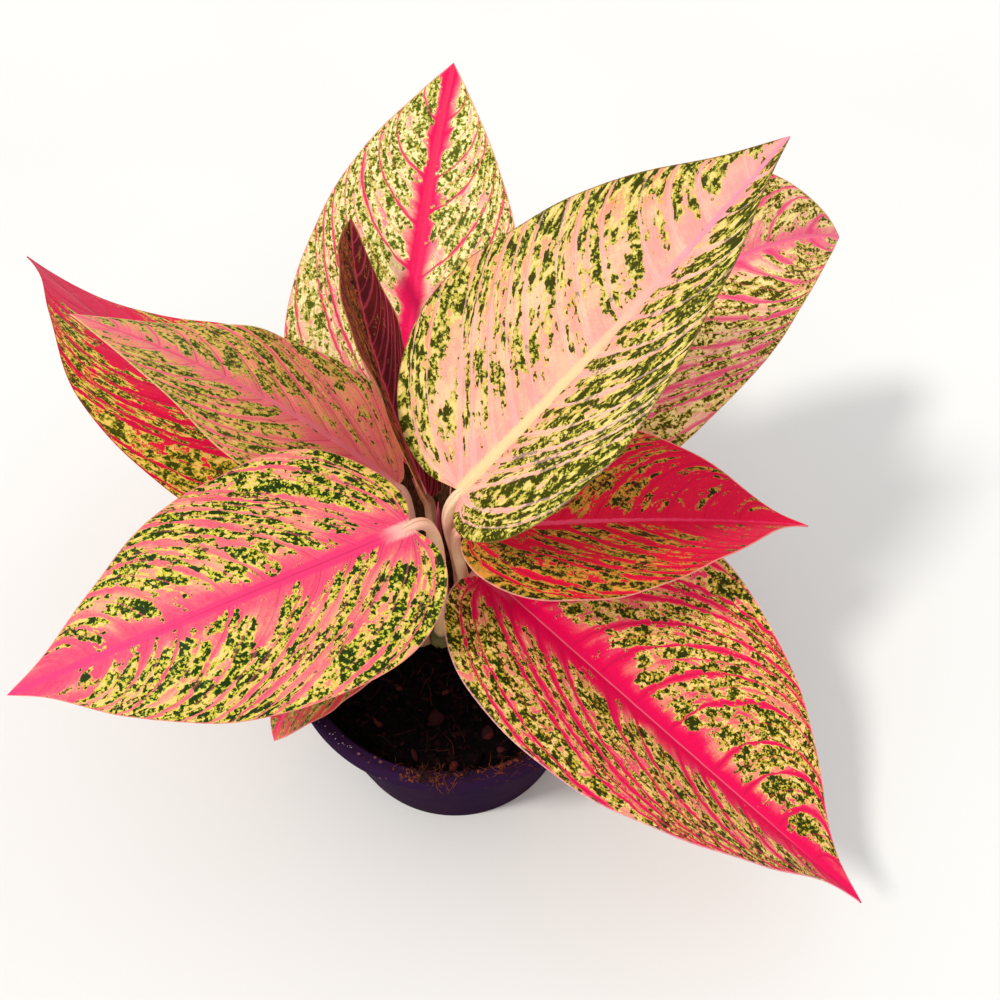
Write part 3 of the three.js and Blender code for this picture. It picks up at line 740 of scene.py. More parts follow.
def blade_object(name, leaf, look, materials):
    u = np.linspace(0, 1, BLADE_ROWS + 1)
    right = -np.linspace(1, 0, HALF_COLUMNS, endpoint=False) ** COLUMN_POWER
    columns = np.concatenate([right, [0], -right[::-1]])
    grid_u, across = np.meshgrid(u, columns, indexing="ij")
    points, x, y = blade_surface(leaf, grid_u, across, name == "young")
    share = np.abs(across)
    left = across > 0

    # Pitch is how far apart the main veins are at each place, in millimetres
    phase, start = vein_field(leaf, look, x, y, left)
    row_step = np.gradient(points, axis=0)
    vein_step = np.gradient(points, axis=1)
    phase_row = np.gradient(phase, axis=0)
    phase_column = np.gradient(phase, axis=1)
    row_square = (row_step ** 2).sum(-1)
    column_square = (vein_step ** 2).sum(-1)
    mixed = (row_step * vein_step).sum(-1)
    area = np.maximum(row_square * column_square - mixed ** 2, 1e-6)
    slope = column_square * phase_row ** 2 + row_square * phase_column ** 2
    slope = np.maximum(slope - 2 * mixed * phase_row * phase_column, 1e-9) / area
    pitch = np.clip(1 / np.sqrt(np.maximum(slope, 1e-6)), *VEIN_PITCH_LIMITS)
    along = np.hypot(x - start, y * leaf["half_width"][0] / leaf["length"]) * leaf["length"]
    half = np.where(left, *leaf["half_width"])
    x = x * leaf["length"]
    y = y * half

    # Relief: the blade swells between sunken veins, and the midrib is a soft ridge
    normal = np.cross(vein_step, row_step)
    weak = np.linalg.norm(normal, axis=-1) < 1e-4
    _, _, _, rib_normal = midrib_frame(leaf, grid_u ** VEIN_START_POWER)
    facing = np.sign((normal * rib_normal).sum(-1, keepdims=True))
    facing[facing == 0] = 1
    normal = unit(normal) * facing
    normal[weak] = rib_normal[weak]
    to_vein = np.abs(phase - np.round(phase)) * pitch
    rise = np.minimum(to_vein / VEIN_SWELL_WIDTH, 1)
    swell = rise ** 2 * (3 - 2 * rise)
    to_ends = np.sin(math.pi * grid_u)
    fade = np.sin(math.pi * np.clip(share, 0, 1) ** 0.7) ** 0.8 * to_ends ** 0.5
    relief = VEIN_RELIEF * (0.35 + look["vein_width"] / 2) * (2 * swell - 1) * np.clip(fade, 0, 1)
    ripple = np.sin(2 * math.pi * RIPPLE_COUNT * grid_u + look["seed"] + 3 * left)
    relief += RIPPLE_HEIGHT * ripple * share ** 4 * to_ends ** 2
    rib_half = look["rib_width"] * (1 - RIB_NARROWING * grid_u)
    ridge = RIDGE_HEIGHT * (1 - grid_u) * np.exp(-(y / rib_half) ** 2)
    crease = CREASE_DEPTH * look["crease"] * np.exp(-(y / CREASE_WIDTH) ** 2) * to_ends ** 0.5
    thickness = MARGIN_THICKNESS + (MIDRIB_THICKNESS - MARGIN_THICKNESS) * (1 - share)
    keel = MIDRIB_DEPTH * (1 - grid_u) * np.exp(-(y / (0.8 * rib_half)) ** 2)
    top = points + normal * (relief + ridge - crease)[..., None]
    under = points + normal * (relief - thickness - keel)[..., None]

    # Rows 0 and last are the blade's base and tip, one vertex on each face
    rows, width = grid_u.shape
    index = np.arange(rows * width).reshape(rows, width)
    index[0] = index[0, HALF_COLUMNS]
    index[-1] = index[-1, HALF_COLUMNS]
    kept = np.unique(index)
    compact = np.full(rows * width, -1)
    compact[kept] = np.arange(len(kept))
    upper = compact[index]
    lower = upper + len(kept)
    faces, groups = [], []

    def add(corners, group):
        ring = [c for i, c in enumerate(corners) if c != corners[i - 1]]
        if len(ring) > 2:
            faces.append(tuple(ring))
            groups.append(group)

    last = width - 1
    for r in range(rows - 1):
        for c in range(last):
            a, b, e, d = (r, c), (r, c + 1), (r + 1, c + 1), (r + 1, c)
            add([int(upper[k]) for k in (a, d, e, b)], 0)
            add([int(lower[k]) for k in (a, b, e, d)], 1)
        add([int(k) for k in (upper[r, 0], lower[r, 0], lower[r + 1, 0], upper[r + 1, 0])], 0)
        add([int(k) for k in (
            upper[r, last], upper[r + 1, last], lower[r + 1, last], lower[r, last])], 0)

    def both(values):
        flat = values.reshape(-1, values.shape[-1])[kept]
        return np.concatenate([flat, flat])

    all_points = np.concatenate([top.reshape(-1, 3)[kept], under.reshape(-1, 3)[kept]])
    to_margin = (1 - share) * half * np.sin(math.pi * np.clip(grid_u, 0.02, 0.98))
    fields = {
        "flat": both(np.stack([x, y, to_margin], -1)),
        "vein": both(np.stack([phase, along, pitch], -1)),
        "zone": both(np.stack([grid_u, across, x / leaf["length"]], -1)),
    }
    margin = np.zeros((rows, width), int)
    margin[:, [0, last]] = 1
    margin[[0, -1]] = 1
    sharp = np.concatenate([margin.ravel()[kept], 2 * margin.ravel()[kept]])
    layout = flat_layout(x.ravel()[kept], y.ravel()[kept], faces)
    return make_object(f"leaf_{name}", all_points, faces, materials, groups, fields, sharp, layout)


def leaf_material(name, look, is_under):
    """A pink blade with cream islands drawn out along the veins, and green mottling in them."""
    g = Graph(f"{name}_{'under' if is_under else 'upper'}")
    x, y, to_margin = g.attribute("flat")
    phase, along, pitch = g.attribute("vein")
    u, across, length_share = g.attribute("zone")
    share = across.size()
    seed = float(look["seed"])
    half = g.math("GREATER_THAN", across, 0.0)
    phase = phase + half * HALVES_APART

    def by_half(key):
        """A look's value on the left half or the right half, whichever the place lies in."""
        on_left, on_right = look[key]
        return half * (on_left - on_right) + on_right

    def drawn_out(per_vein, length, shift, *settings):
        """Noise round 0 that runs along the veins, that often a vein and that long."""
        return g.uneven(g.join(phase * per_vein, along / length, seed + shift), 1.0, *settings)

    flat = g.join(x + seed * 37, y, seed)
    shake = g.uneven(flat, 0.9, 2.0)
    shake_more = g.uneven(g.join(y, x + seed, 3.0), 0.8, 2.0)
    shaken = g.join(x + seed * 37 + shake * 1.6, y + shake_more * 1.6, seed)
    _, cell = g.cells(shaken, 1.25, "2D")
    _, small_cell = g.cells(shaken, 0.65, "2D")

    # Distance from the main veins and from the finer ones halfway between them
    bent = phase + drawn_out(1, 14, 0, 1.0) * 0.2
    nearest = g.math("ROUND", bent)
    strength = g.noise(g.join(nearest * 7.3, along / 25, seed), 1.0, 1.0).above(0.3, 0.65)
    to_vein = (bent - nearest).size() * pitch
    halfway = bent + 0.5
    to_fine = (halfway - g.math("ROUND", halfway)).size() * pitch
    thin = 1.2 - share * 0.75
    vein_half = thin * (strength * 0.7 + 0.5) * look["vein_width"]
    vein = (to_vein + shake * 0.3).above(vein_half * 1.5, vein_half * 0.6)
    fine = (to_fine + shake * 0.3).above(0.45, 0.15) * share.above(1.0, 0.7)
    ragged = drawn_out(6, 4, 2, 3.0, 0.6)
    halo_half = thin * (strength * 0.9 + 0.35) * look["halo_width"]
    halo = (to_vein + ragged * 2.6).above(halo_half * 1.4, halo_half * 0.7)

    # Bands beside the midrib: the coloured rib itself, and the clearer blade round it
    rib_half = (1.0 - length_share * (1 - RIB_TIP_SHARE)) * look["rib_width"]
    feather = drawn_out(2.6, 22, 5, 3.0, 0.6)
    rib = (y.size() + shake * 0.8 + ragged * 1.2).above(rib_half * 1.3, rib_half * 0.75)
    clear_half = (1.0 - length_share * (1 - look["clear_tip_share"])) * look["clear_width"]
    clear = (y.size() * (1.0 + feather * 2.4)).above(clear_half * 1.8, clear_half * 0.5)

    # Islands of mottling, and how green they are inside
    streak = drawn_out(2.1, 15, 0, 2.0)
    fleck = drawn_out(6, 3.6, 3, 2.0, 0.55)
    clump = drawn_out(3.8, 4.6, 7, 1.5)
    patch = g.uneven(flat, 0.13, 2.0, 0.6)
    grain = g.uneven(shaken, 0.62, 2.0, 0.6)
    coarse = g.noise(g.join(x + seed * 5, y, 11.0), 0.05, 1.0).above(0.4, 0.6) * look["coarse"]
    at_base = u.above(0.34, 0.08) * share.above(0.15, 0.6)
    at_edge = share.above(0.6, 0.95)
    at_tip = (length_share + patch * 0.3 + feather * 0.2).above(
        look["tip_from"], look["tip_from"] + 0.2)
    at_root = (length_share + patch * 0.4 + share * 0.25).above(0.6, 0.3)
    island = (
        streak * 2.6 + (fleck * 1.1 + grain * 0.9) * look["lace"] + patch * 1.3
        + (cell - 0.5) * 0.16 + by_half("side") + look["cover"]
        + at_base * look["base_cover"] + at_edge * look["edge_cover"]
        - clear * look["clear_gain"] - at_tip * look["tip_clear"]
        - at_root * look["root_clear"] - halo * 0.55 - fine * 0.2
    )
    inside = g.math("MINIMUM", island, 0.45)
    green = (
        fleck + clump * (coarse * 1.8 + 1.0) + grain * (2.1 - coarse) + patch * 0.8
        + streak * 0.5 + (cell - 0.5) * (look["cell"] - coarse * 0.25) + inside * 0.6 - 0.16
        + by_half("side_green") + look["density"]
    )

    # Colours from the ground up
    tone = drawn_out(1.3, 26, 9, 3.0, 0.6)
    blush = (tone * 2.4 + patch + (small_cell - 0.5) * 0.25).above(-0.4, 0.3)
    speckle = g.uneven(flat, 1.5, 2.0, 0.7)
    lines = g.math("SINE", phase * (2 * math.pi * 7) + shake * 5)
    shade = (speckle * 1.5 + lines * 0.12 * share.above(0.02, 0.12)).above(0.0, 0.4)
    ground = g.layered(
        g.mix(blush, look["pale"], look["pink"]),
        (at_edge * by_half("rim_gain"), TONES["margin"]),
        (clear * look["clear_hot"], look["hot"]),
        (at_tip * look["tip_hot"], look["hot"]),
        (halo * look["halo_hot"], look["hot"]),
        (shade * SHADE_SHARE, look["deep"]))

    on_island = island.above(-0.03, 0.02)
    ring = on_island * island.above(0.07, 0.03)
    marked = island.above(0.02, 0.07)
    warmth = (tone * 1.6 + grain + (small_cell - 0.5) * 0.4).above(0.0, 0.35)
    dots = small_cell.above(0.76, 0.84) * green.above(0.0, 0.06) * green.above(0.6, 0.4)
    rib_tone = g.layered(
        g.mix(length_share.above(0.3, 0.8), look["rib"], look["rib_tip"]),
        ((length_share + ragged * 0.03).above(0.09, 0.02), look["rib_base"]))
    # A dark line in the midrib's crease: painted shade in the groove
    crease = y.size().above(0.5, 0.2) * u.above(0.1, 0.4) * u.above(0.95, 0.6)
    # A paler line down the midrib's middle, over all but its tip: a painted highlight
    centre = y.size().above(0.7, 0.25) * u.above(0.96, 0.8)
    colour = g.layered(
        ground,
        (on_island, g.mix(warmth * 0.7, look["cream"], look["warm"])),
        (ring * 0.45, TONES["island_ring"]),
        (green.above(-0.24, -0.12) * marked * 0.85, look["lime"]),
        (green.above(-0.01, 0.04) * marked, look["green"]),
        ((green + (small_cell - 0.5) * 0.2).above(0.13, 0.19) * marked, look["dark"]),
        (dots * marked, look["lime"]),
        (vein * look["vein_gain"], look["vein_tone"]),
        (fine * look["fine_gain"], look["vein_tone"]),
        (rib, rib_tone),
        (crease * look["crease"] * 0.5, TONES["rib_crease_shade"]),
        (centre * look["rib_shine"], TONES["rib_shine"]),
        (to_margin.above(0.5, 0.2) * 0.7, look["edge"]))
    if is_under:
        colour = g.mix(0.45, colour, TONES["under_side"])

    groove = to_vein.above(0.5, 0.15) * 0.5 + to_fine.above(0.45, 0.15) * 0.2
    height = (lines * 0.05 - groove) * y.size().above(0.6, 2.5) + shake * 0.4
    roughness = (grain * 0.3 + 0.42) - vein * 0.05
    return g.finish(
        colour, roughness, -height if is_under else height, 0.35 * MM, specular=0.06,
        subsurface_weight=0.06, subsurface_scale=0.5 * MM)


def build_leaves():
    for name, leaf in LEAVES.items():
        look = {**COMMON_LOOK, **LOOKS[name]}
        materials = [leaf_material(name, look, False), leaf_material(name, look, True)]
        piece = blade_object(name, leaf, look, materials)
        place(piece, "young_blade" if name == "young" else "blade", f"blade_{name}")


# Petioles, rolled leaf and cane

def petiole_material(name, foot, middle, end):
    g = Graph(name)
    along, angle, share = g.attribute("stalk")
    streaks = g.uneven(g.join(angle * 2.4, along / 30, 0.3), 1.0, 3.0)
    blotches = g.uneven(g.join(angle, along / 6, 2.0), 1.0, 3.0, 0.6)
    flecks = g.uneven(g.join(angle * 3, along / 2.2, 5.0), 1.0, 2.0).above(0.14, 0.2)
    way = share + blotches * 0.2
    colour = g.layered(
        g.mix(way.above(0.0, 0.5), foot, middle),
        (way.above(0.6, 1.0), end),
        ((streaks * 2.4).above(0.1, 0.7) * 0.5, TONES["stalk_streak"]),
        (flecks * 0.35, TONES["stalk_fleck"]))
    return g.finish(
        colour, 0.42 + streaks * 0.1, streaks * 1.2 + blotches * 0.5, 0.3 * MM, specular=0.35,
        subsurface_weight=0.2, subsurface_scale=1.5 * MM)


def petiole_path(name, leaf):
    bearing, height = leaf["foot"]
    rise, lead = leaf["bend"]
    is_top = height >= CANE_TOP
    reach = CANE_RADIUS / 2 if is_top else CANE_RADIUS + GAP + PETIOLE_FOOT_RADIUS
    foot = np.array([
        *np.add(CANE_CENTRE, polar(reach, math.radians(bearing))),
        CANE_TOP + GAP if is_top else height,
    ])
    origin, tangent, _, normal = (v[0] for v in midrib_frame(leaf, np.zeros(1)))
    end = origin - tangent * (2 * GAP if name == "young" else PETIOLE_SETBACK)
    end = end - (0, 0, PETIOLE_DROP)
    path = bezier(foot, foot + (0, 0, rise), end - tangent * lead, end, PETIOLE_STEPS)
    # Past the blade's base the stalk runs on into the midrib's keel
    run = np.linspace(0.01, 0.075, KEEL_STEPS)
    under, _, _, under_normal = midrib_frame(leaf, run)
    depth = np.linspace(0.9, 2.4, KEEL_STEPS)[:, None]
    return np.vstack([path, under - under_normal * depth]), normal, len(path)


def petiole_object(name, leaf):
    path, normal, stalk_points = petiole_path(name, leaf)
    along = distance_along(path)
    meets = along[stalk_points - 1] / along[-1]

    def radius_at(share, angle):
        on_stalk = np.clip(share / meets, 0, 1)
        taper = on_stalk ** PETIOLE_TAPER_POWER
        radius = PETIOLE_FOOT_RADIUS + (PETIOLE_END_RADIUS - PETIOLE_FOOT_RADIUS) * taper
        beyond = np.clip((share - meets) / (1 - meets), 0, 1)
        radius = radius * (1 - 0.7 * beyond)
        turn = np.minimum(angle, 2 * math.pi - angle)
        channel = CHANNEL_DEPTH * np.exp(-(turn / 0.5) ** 2)
        sheath = np.clip(1 - on_stalk / 0.5, 0, 1) ** 0.7
        wings = (WING_HEIGHT * sheath + 0.08) * np.exp(-((turn - 1.0) / 0.28) ** 2)
        return radius * (1 - channel * (1 - beyond) + wings * (1 - beyond))

    # The channel faces the same way as the blade's upper side, so start from there and work back
    points, faces, fields = tube(
        path[::-1], lambda s, a: radius_at(1 - s, a), PETIOLE_SIDES, normal)
    fields[:, 2] = 1 - fields[:, 2]
    fields[:, 0] = along[-1] - fields[:, 0]
    material = petiole_material(f"petiole_{name}", *PETIOLE_TONES.get(name, DEFAULT_TONES))
    piece = make_object(f"stalk_{name}", points, faces, [material], fields={"stalk": fields})
    return place(piece, "petiole", f"petiole_{name}")


def spike_object():
    foot, tip = np.array(SPIKE_FOOT, float), np.array(SPIKE_TIP, float)
    middle = (foot + tip) / 2 + SPIKE_BOW
    t = np.linspace(0, 1, SPIKE_STEPS)[:, None]
    path = foot * (1 - t) ** 2 + (2 * middle - (foot + tip) / 2) * 2 * t * (1 - t) + tip * t ** 2

    def radius_at(share, angle):
        radius = SPIKE_RADIUS * (1.15 - 0.25 * share) * (1 - share ** 5 * 0.92)
        turn = (angle - 2.6 * share) % (2 * math.pi)
        overlap = 0.2 * np.exp(-turn / 0.8)
        return radius * (1 + overlap)

    points, faces, fields = tube(path, radius_at, SPIKE_SIDES, EAST)
    g = Graph("rolled_leaf_skin")
    along, angle, share = g.attribute("stalk")
    streaks = g.uneven(g.join(angle * 3, along / 16, 0), 1.0, 3.0)
    colour = g.layered(
        g.mix(share.above(0.1, 0.6), TONES["spike_foot"], TONES["spike"]),
        ((share + streaks * 0.2).above(0.86, 1.0), TONES["spike_tip"]),
        ((streaks * 2).above(0.1, 0.5) * 0.4, TONES["spike_streak"]))
    material = g.finish(colour, 0.4 + streaks * 0.2, streaks, 0.3 * MM, specular=0.4)
    piece = make_object("new_leaf", points, faces, [material], fields={"stalk": fields})
    return place(piece, "rolled_leaf", "rolled_leaf")


def cane_object():
    height = np.linspace(CANE_FOOT, CANE_TOP, CANE_STEPS)
    path = np.stack([
        np.full_like(height, CANE_CENTRE[0]), np.full_like(height, CANE_CENTRE[1]), height], -1)

    def radius_at(share, angle):
        z = CANE_FOOT + (CANE_TOP - CANE_FOOT) * share
        scar = ((z - CANE_FOOT - 1) / CANE_RING_PITCH + 0.05 * np.sin(angle + z)) % 1
        groove = np.exp(-((scar - 0.92) / 0.05) ** 2) * 0.5
        ridge = np.exp(-((scar - 0.8) / 0.06) ** 2) * 0.25
        top = np.clip((z - CANE_TOP + 2) / 2, 0, 1) * 1.5
        return CANE_RADIUS - 0.2 - groove + ridge - top + 0.12 * np.sin(3 * angle + 0.4 * z)

    points, faces, fields = tube(path, radius_at, CANE_SIDES, EAST)
    g = Graph("cane_skin")
    along, angle, _ = g.attribute("stalk")
    rings = g.uneven(g.join(angle * 0.6, 0.0, along / 3), 1.0, 3.0)
    fibres = g.uneven(g.join(angle * 6, 2.0, along / 12), 1.0, 3.0)
    colour = g.layered(
        g.mix((rings * 2).above(-0.4, 0.5), TONES["cane"], TONES["cane_pale"]),
        ((fibres * 2).above(0.1, 0.6) * 0.5, TONES["cane_fibre"]))
    material = g.finish(colour, 0.6 + fibres * 0.2, rings + fibres, 0.5 * MM, specular=0.3)
    piece = make_object("cane_stem", points, faces, [material], fields={"stalk": fields})
    return place(piece, "cane", "cane")


def shade_filling_sheath(foot, lean, tip, width):
    """One dark withered sheath, put in as painted shade: a crumpled sheet with two faces and an
    edge.
    """
    t = np.linspace(0, 1, SHEATH_ROWS + 1)
    path = bezier(foot, lean, (np.array(lean) + tip) / 2 + (0, 6, 6), tip, SHEATH_ROWS)
    tangent = unit(np.gradient(path, axis=0))
    side = unit(np.cross(tangent, (0, 0, 1.0)))
    face = np.cross(side, tangent)
    reach = width * (0.45 + 0.55 * np.sin(math.pi * np.clip(t * 0.9, 0, 1))) * (1 - t ** 6)
    across = np.linspace(-1, 1, SHEATH_COLUMNS + 1)
    crumple = SHEATH_CRUMPLE * np.sin(9 * t[:, None] + 5 * across + foot[0])
    lift = (SHEATH_HOLLOW * across ** 2)[None, :, None] * reach[:, None, None] * -1
    sheet = path[:, None] + side[:, None] * (across[None, :, None] * reach[:, None, None])
    sheet = sheet + face[:, None] * (lift + crumple[..., None])
    skin = face[:, None] * SHEATH_THICKNESS / 2
    solid = np.concatenate([(sheet + skin).reshape(-1, 3), (sheet - skin).reshape(-1, 3)])
    count = (SHEATH_ROWS + 1) * (SHEATH_COLUMNS + 1)
    index = np.arange(count).reshape(SHEATH_ROWS + 1, SHEATH_COLUMNS + 1)
    faces = []
    for r in range(SHEATH_ROWS):
        for c in range(SHEATH_COLUMNS):
            a, b, e, d = index[r, c], index[r, c + 1], index[r + 1, c + 1], index[r + 1, c]
            faces.append((a, b, e, d))
            faces.append((count + a, count + d, count + e, count + b))
    border = [*index[0], *index[1:, -1], *index[-1, -2::-1], *index[-2:0:-1, 0]]
    for a, b in zip(border, border[1:] + border[:1]):
        faces.append((b, a, count + a, count + b))
    return solid, [tuple(int(k) for k in face) for face in faces]


def shade_filling_sheaths():
    """Brown, withered leaf sheaths that stand behind the crown as painted shade: dark sheets that
    fill the gaps between its stalks.
    """
    g = Graph("shade_filling_sheath")
    x, y, z = g.coordinates()
    grain = g.uneven(g.join(x * 1500, y * 400, z * 400), 1.0, 3.0, 0.6)
    # Dark brown with paler grain: painted shade for the inside of the crown
    colour = g.mix((grain * 2).above(-0.3, 0.6), TONES["shade_sheath_dark"], TONES["shade_sheath_pale"])
    material = g.finish(colour, 0.85 + grain * 0.2, grain, 0.3 * MM, specular=0.1)
    return place_all("shade_filling_sheaths", [shade_filling_sheath(*shape) for shape in SHADE_FILLING_SHEATHS], material, "cane")


def root_material():
    g = Graph("root_skin")
    x, y, z = g.coordinates()
    grain = g.uneven(g.join(x * 400, y * 400, z * 150), 1.0, 4.0)
    colour = g.mix((grain * 2).above(-0.3, 0.5), TONES["root"], TONES["root_pale"])
    return g.finish(colour, 0.8 + grain * 0.1, grain, 0.5 * MM, specular=0.2)


# Pot

def turned_profile():
    """The pot's section, from the middle of its underside out, up, over the lip and back in."""
    foot = POT_HEIGHT - LIP_DROP
    wall_top = POT_RIM_RADIUS - LIP_WIDTH / 2
    inner = POT_RIM_RADIUS - LIP_WIDTH
    base = POT_BASE_RADIUS

    def arc(cx, cy, radius, start, end, count=7):
        turn = np.radians(np.linspace(start, end, count))
        return [(cx + radius * math.cos(a), cy + radius * math.sin(a)) for a in turn]

    profile = [(0, 0), (DRAIN_RING_RADIUS, 0), (base - 6, 0), (base - 5.6, 0.5), (base - 4.4, 0.5)]
    profile += [(base - 4, 0)]
    profile += arc(base - LIP_ROUNDING, LIP_ROUNDING, LIP_ROUNDING, -90, -10)
    for share in np.linspace(0.04, 0.96, 24):
        radius = base + (wall_top - base) * share
        z = LIP_ROUNDING + (foot - 2 * LIP_ROUNDING) * share
        profile.append((radius, z))
    profile += arc(wall_top + 0.8, foot - LIP_ROUNDING - 0.8, 0.8, 170, 90, 5)
    profile += arc(POT_RIM_RADIUS - 0.7, foot - LIP_ROUNDING + 0.7, 0.7, -90, 0, 5)
    profile += [(POT_RIM_RADIUS - 0.1, foot + 1.2), (POT_RIM_RADIUS - 0.35, POT_HEIGHT - 2.2)]
    profile += arc(POT_RIM_RADIUS - 2.3, POT_HEIGHT - 1.9, 1.9, 10, 88, 8)
    profile += [(inner + 2.8, POT_HEIGHT - 0.35)]
    profile += arc(inner + 1.6, POT_HEIGHT - 2.1, 1.6, 80, 180, 8)
    profile += [(inner + 0.1, foot), (inner + 0.15, foot - LIP_ROUNDING)]
    inside = base - POT_WALL
    for share in np.linspace(0.9, 0.05, 12):
        radius = inside + (inner + LIP_INNER_STEP - inside) * share
        z = POT_FLOOR + LIP_ROUNDING + (foot - 2 * LIP_ROUNDING - POT_FLOOR) * share
        profile.append((radius, z))
    profile += arc(inside - LIP_ROUNDING, POT_FLOOR + LIP_ROUNDING, LIP_ROUNDING, 0, -90, 5)
    profile += [(DRAIN_RING_RADIUS, POT_FLOOR), (0, POT_FLOOR)]
    return profile


def turned_mesh(profile, sides):
    points, faces = [], []
    rings = []
    for radius, z in profile:
        if radius == 0:
            rings.append([len(points)] * sides)
            points.append((0, 0, z))
            continue
        rings.append(list(range(len(points), len(points) + sides)))
        for k in range(sides):
            points.append((*polar(radius, 2 * math.pi * k / sides), z))
    for ring, after in zip(rings, rings[1:]):
        for k in range(sides):
            j = (k + 1) % sides
            corners = [ring[k], ring[j], after[j], after[k]]
            face = [c for i, c in enumerate(corners) if c != corners[i - 1]]
            if len(face) > 2:
                faces.append(tuple(face))
    return np.array(points, float), faces


def pot_material():
    g = Graph("pot_plastic")
    x, y, z = g.coordinates()
    here = g.millimetres()
    flow = g.uneven(g.join(x * 60, y * 60, z * 300), 1.0, 3.0)
    cloud = g.uneven(here, 0.05, 3.0)
    fine = g.uneven(here, 2.5, 2.0)
    scuff = g.uneven(g.join(x * 300, y * 300, z * 1200), 1.0, 4.0, 0.7)
    spot, lucky = g.cells(here, 2.2)
    on_rim = z.above(0.0695, 0.0725)
    dust = (scuff * 2).above(0.34, 0.6) * 0.45
    specks = lucky.above(0.87, 0.93) * spot.above(0.34, 0.2) * on_rim
    crumbs = lucky.above(0.8, 0.9) * spot.above(0.42, 0.25) * on_rim * y.above(-0.03, -0.05)
    # The lip is lighter than the wall: partly its own tone and partly painted sheen, as the shader
    # has almost no gloss
    colour = g.layered(
        g.mix(on_rim, TONES["pot_wall"], TONES["pot_rim_with_sheen"]),
        ((cloud * 2 + flow).above(-0.2, 0.9) * 0.5, TONES["pot_cloud"]),
        (z.above(0.03, 0.0) * 0.5, TONES["pot_low"]),
        (dust * on_rim, TONES["rim_dust"]),
        (dust * 0.2, TONES["wall_dust"]),
        (specks * x.above(-0.015, -0.035) * 0.85, TONES["rim_speck"]),
        (crumbs * 0.8, TONES["rim_crumb"]))
    roughness = 0.42 + cloud * 0.25 + dust * 0.3 + specks * 0.3
    return g.finish(colour, roughness, fine * 0.1 + scuff * 0.15, 0.2 * MM, specular=0.001)


def pot_object():
    points, faces = turned_mesh(turned_profile(), POT_SIDES)
    piece = make_object("nursery_pot", points, faces, [pot_material()])
    drills = []
    for i in range(DRAIN_HOLES):
        centre = (*polar(DRAIN_RING_RADIUS, 2 * math.pi * i / DRAIN_HOLES), 0)
        path = centre + np.array([(0, 0, -4), (0, 0, 6)])
        drills.append(tube(
            path, lambda s, a: np.full_like(a, DRAIN_HOLE_RADIUS), DRAIN_SIDES, EAST)[:2])
    cutter = make_object("drill", *merged(drills), [])
    cut = piece.modifiers.new("holes", "BOOLEAN")
    cut.object = cutter
    cut.operation = "DIFFERENCE"
    cut.solver = "EXACT"
    applied = bpy.data.meshes.new_from_object(
        piece.evaluated_get(bpy.context.evaluated_depsgraph_get()))
    piece.modifiers.clear()
    piece.data = applied
    bpy.data.objects.remove(cutter)
    return place(piece, "pot", "pot")


# Soil

def inner_radius(z):
    top_z = POT_HEIGHT - LIP_DROP - LIP_ROUNDING
    top = POT_RIM_RADIUS - LIP_WIDTH + LIP_INNER_STEP
    bottom = POT_BASE_RADIUS - POT_WALL
    share = (z - POT_FLOOR - LIP_ROUNDING) / (top_z - POT_FLOOR - LIP_ROUNDING)
    return bottom + (top - bottom) * share


def lumps(x, y):
    """Uneven ground made of a few crossed waves, in millimetres."""
    rough = np.sin(0.31 * x + 1.3) * np.cos(0.27 * y) + 0.6 * np.sin(0.53 * x - 0.41 * y)
    rough += 0.5 * np.sin(1.1 * x + 0.9 * y + 1) * np.sin(0.9 * y - 1.3 * x)
    rough += 0.35 * np.sin(2.3 * x + 0.7) * np.sin(2.1 * y + 0.4)
    rough += 0.25 * np.sin(4.1 * x + 2.9 * y) * np.cos(3.7 * y - 1.9 * x)
    return rough


def soil_height(x, y):
    from_cane = np.hypot(x - CANE_CENTRE[0], y - CANE_CENTRE[1])
    mound = SOIL_MOUND * np.exp(-(from_cane / SOIL_MOUND_WIDTH) ** 2)
    fade = np.clip(1 - (np.hypot(x, y) / inner_radius(SOIL_LEVEL)) ** 4, 0, 1)
    return SOIL_LEVEL + mound + SOIL_ROUGHNESS * lumps(x, y) * (0.35 + 0.65 * fade)


def soil_material(name, dark, middle, red):
    g = Graph(name)
    here = g.millimetres()
    coarse = g.uneven(here, 0.25, 4.0, 0.65)
    fine = g.uneven(here, 1.8, 4.0, 0.7)
    from_middle, lucky = g.cells(here, 1.6)
    colour = g.layered(
        g.mix((coarse * 2 + fine).above(-0.2, 0.8), dark, middle),
        (lucky.above(0.8, 0.95) * 0.6, red))
    height = fine * 2 + coarse + from_middle * 0.6
    return g.finish(colour, 0.95, height, 1.0 * MM, specular=0.08)


def soil_object():
    edge = inner_radius(SOIL_LEVEL) - GAP
    floor = POT_FLOOR + GAP
    wall = [(inner_radius(z) - GAP, z) for z in (POT_FLOOR + LIP_ROUNDING + GAP, 20, 40, 58)]
    profile = [(0, floor), (POT_BASE_RADIUS - POT_WALL - LIP_ROUNDING - GAP, floor), *wall]
    under = 1 + (len(profile) - 1) * SOIL_SIDES
    profile += [(edge * (1 - i / SOIL_RINGS), SOIL_LEVEL) for i in range(SOIL_RINGS)]
    points, faces = turned_mesh([*profile, (0, SOIL_LEVEL)], SOIL_SIDES)
    points[under:, 2] = soil_height(points[under:, 0], points[under:, 1])
    piece = make_object("soil_bed", points, faces, [soil_material("soil_ground", *SOIL_TONES)])
    return place(piece, "soil", "soil")


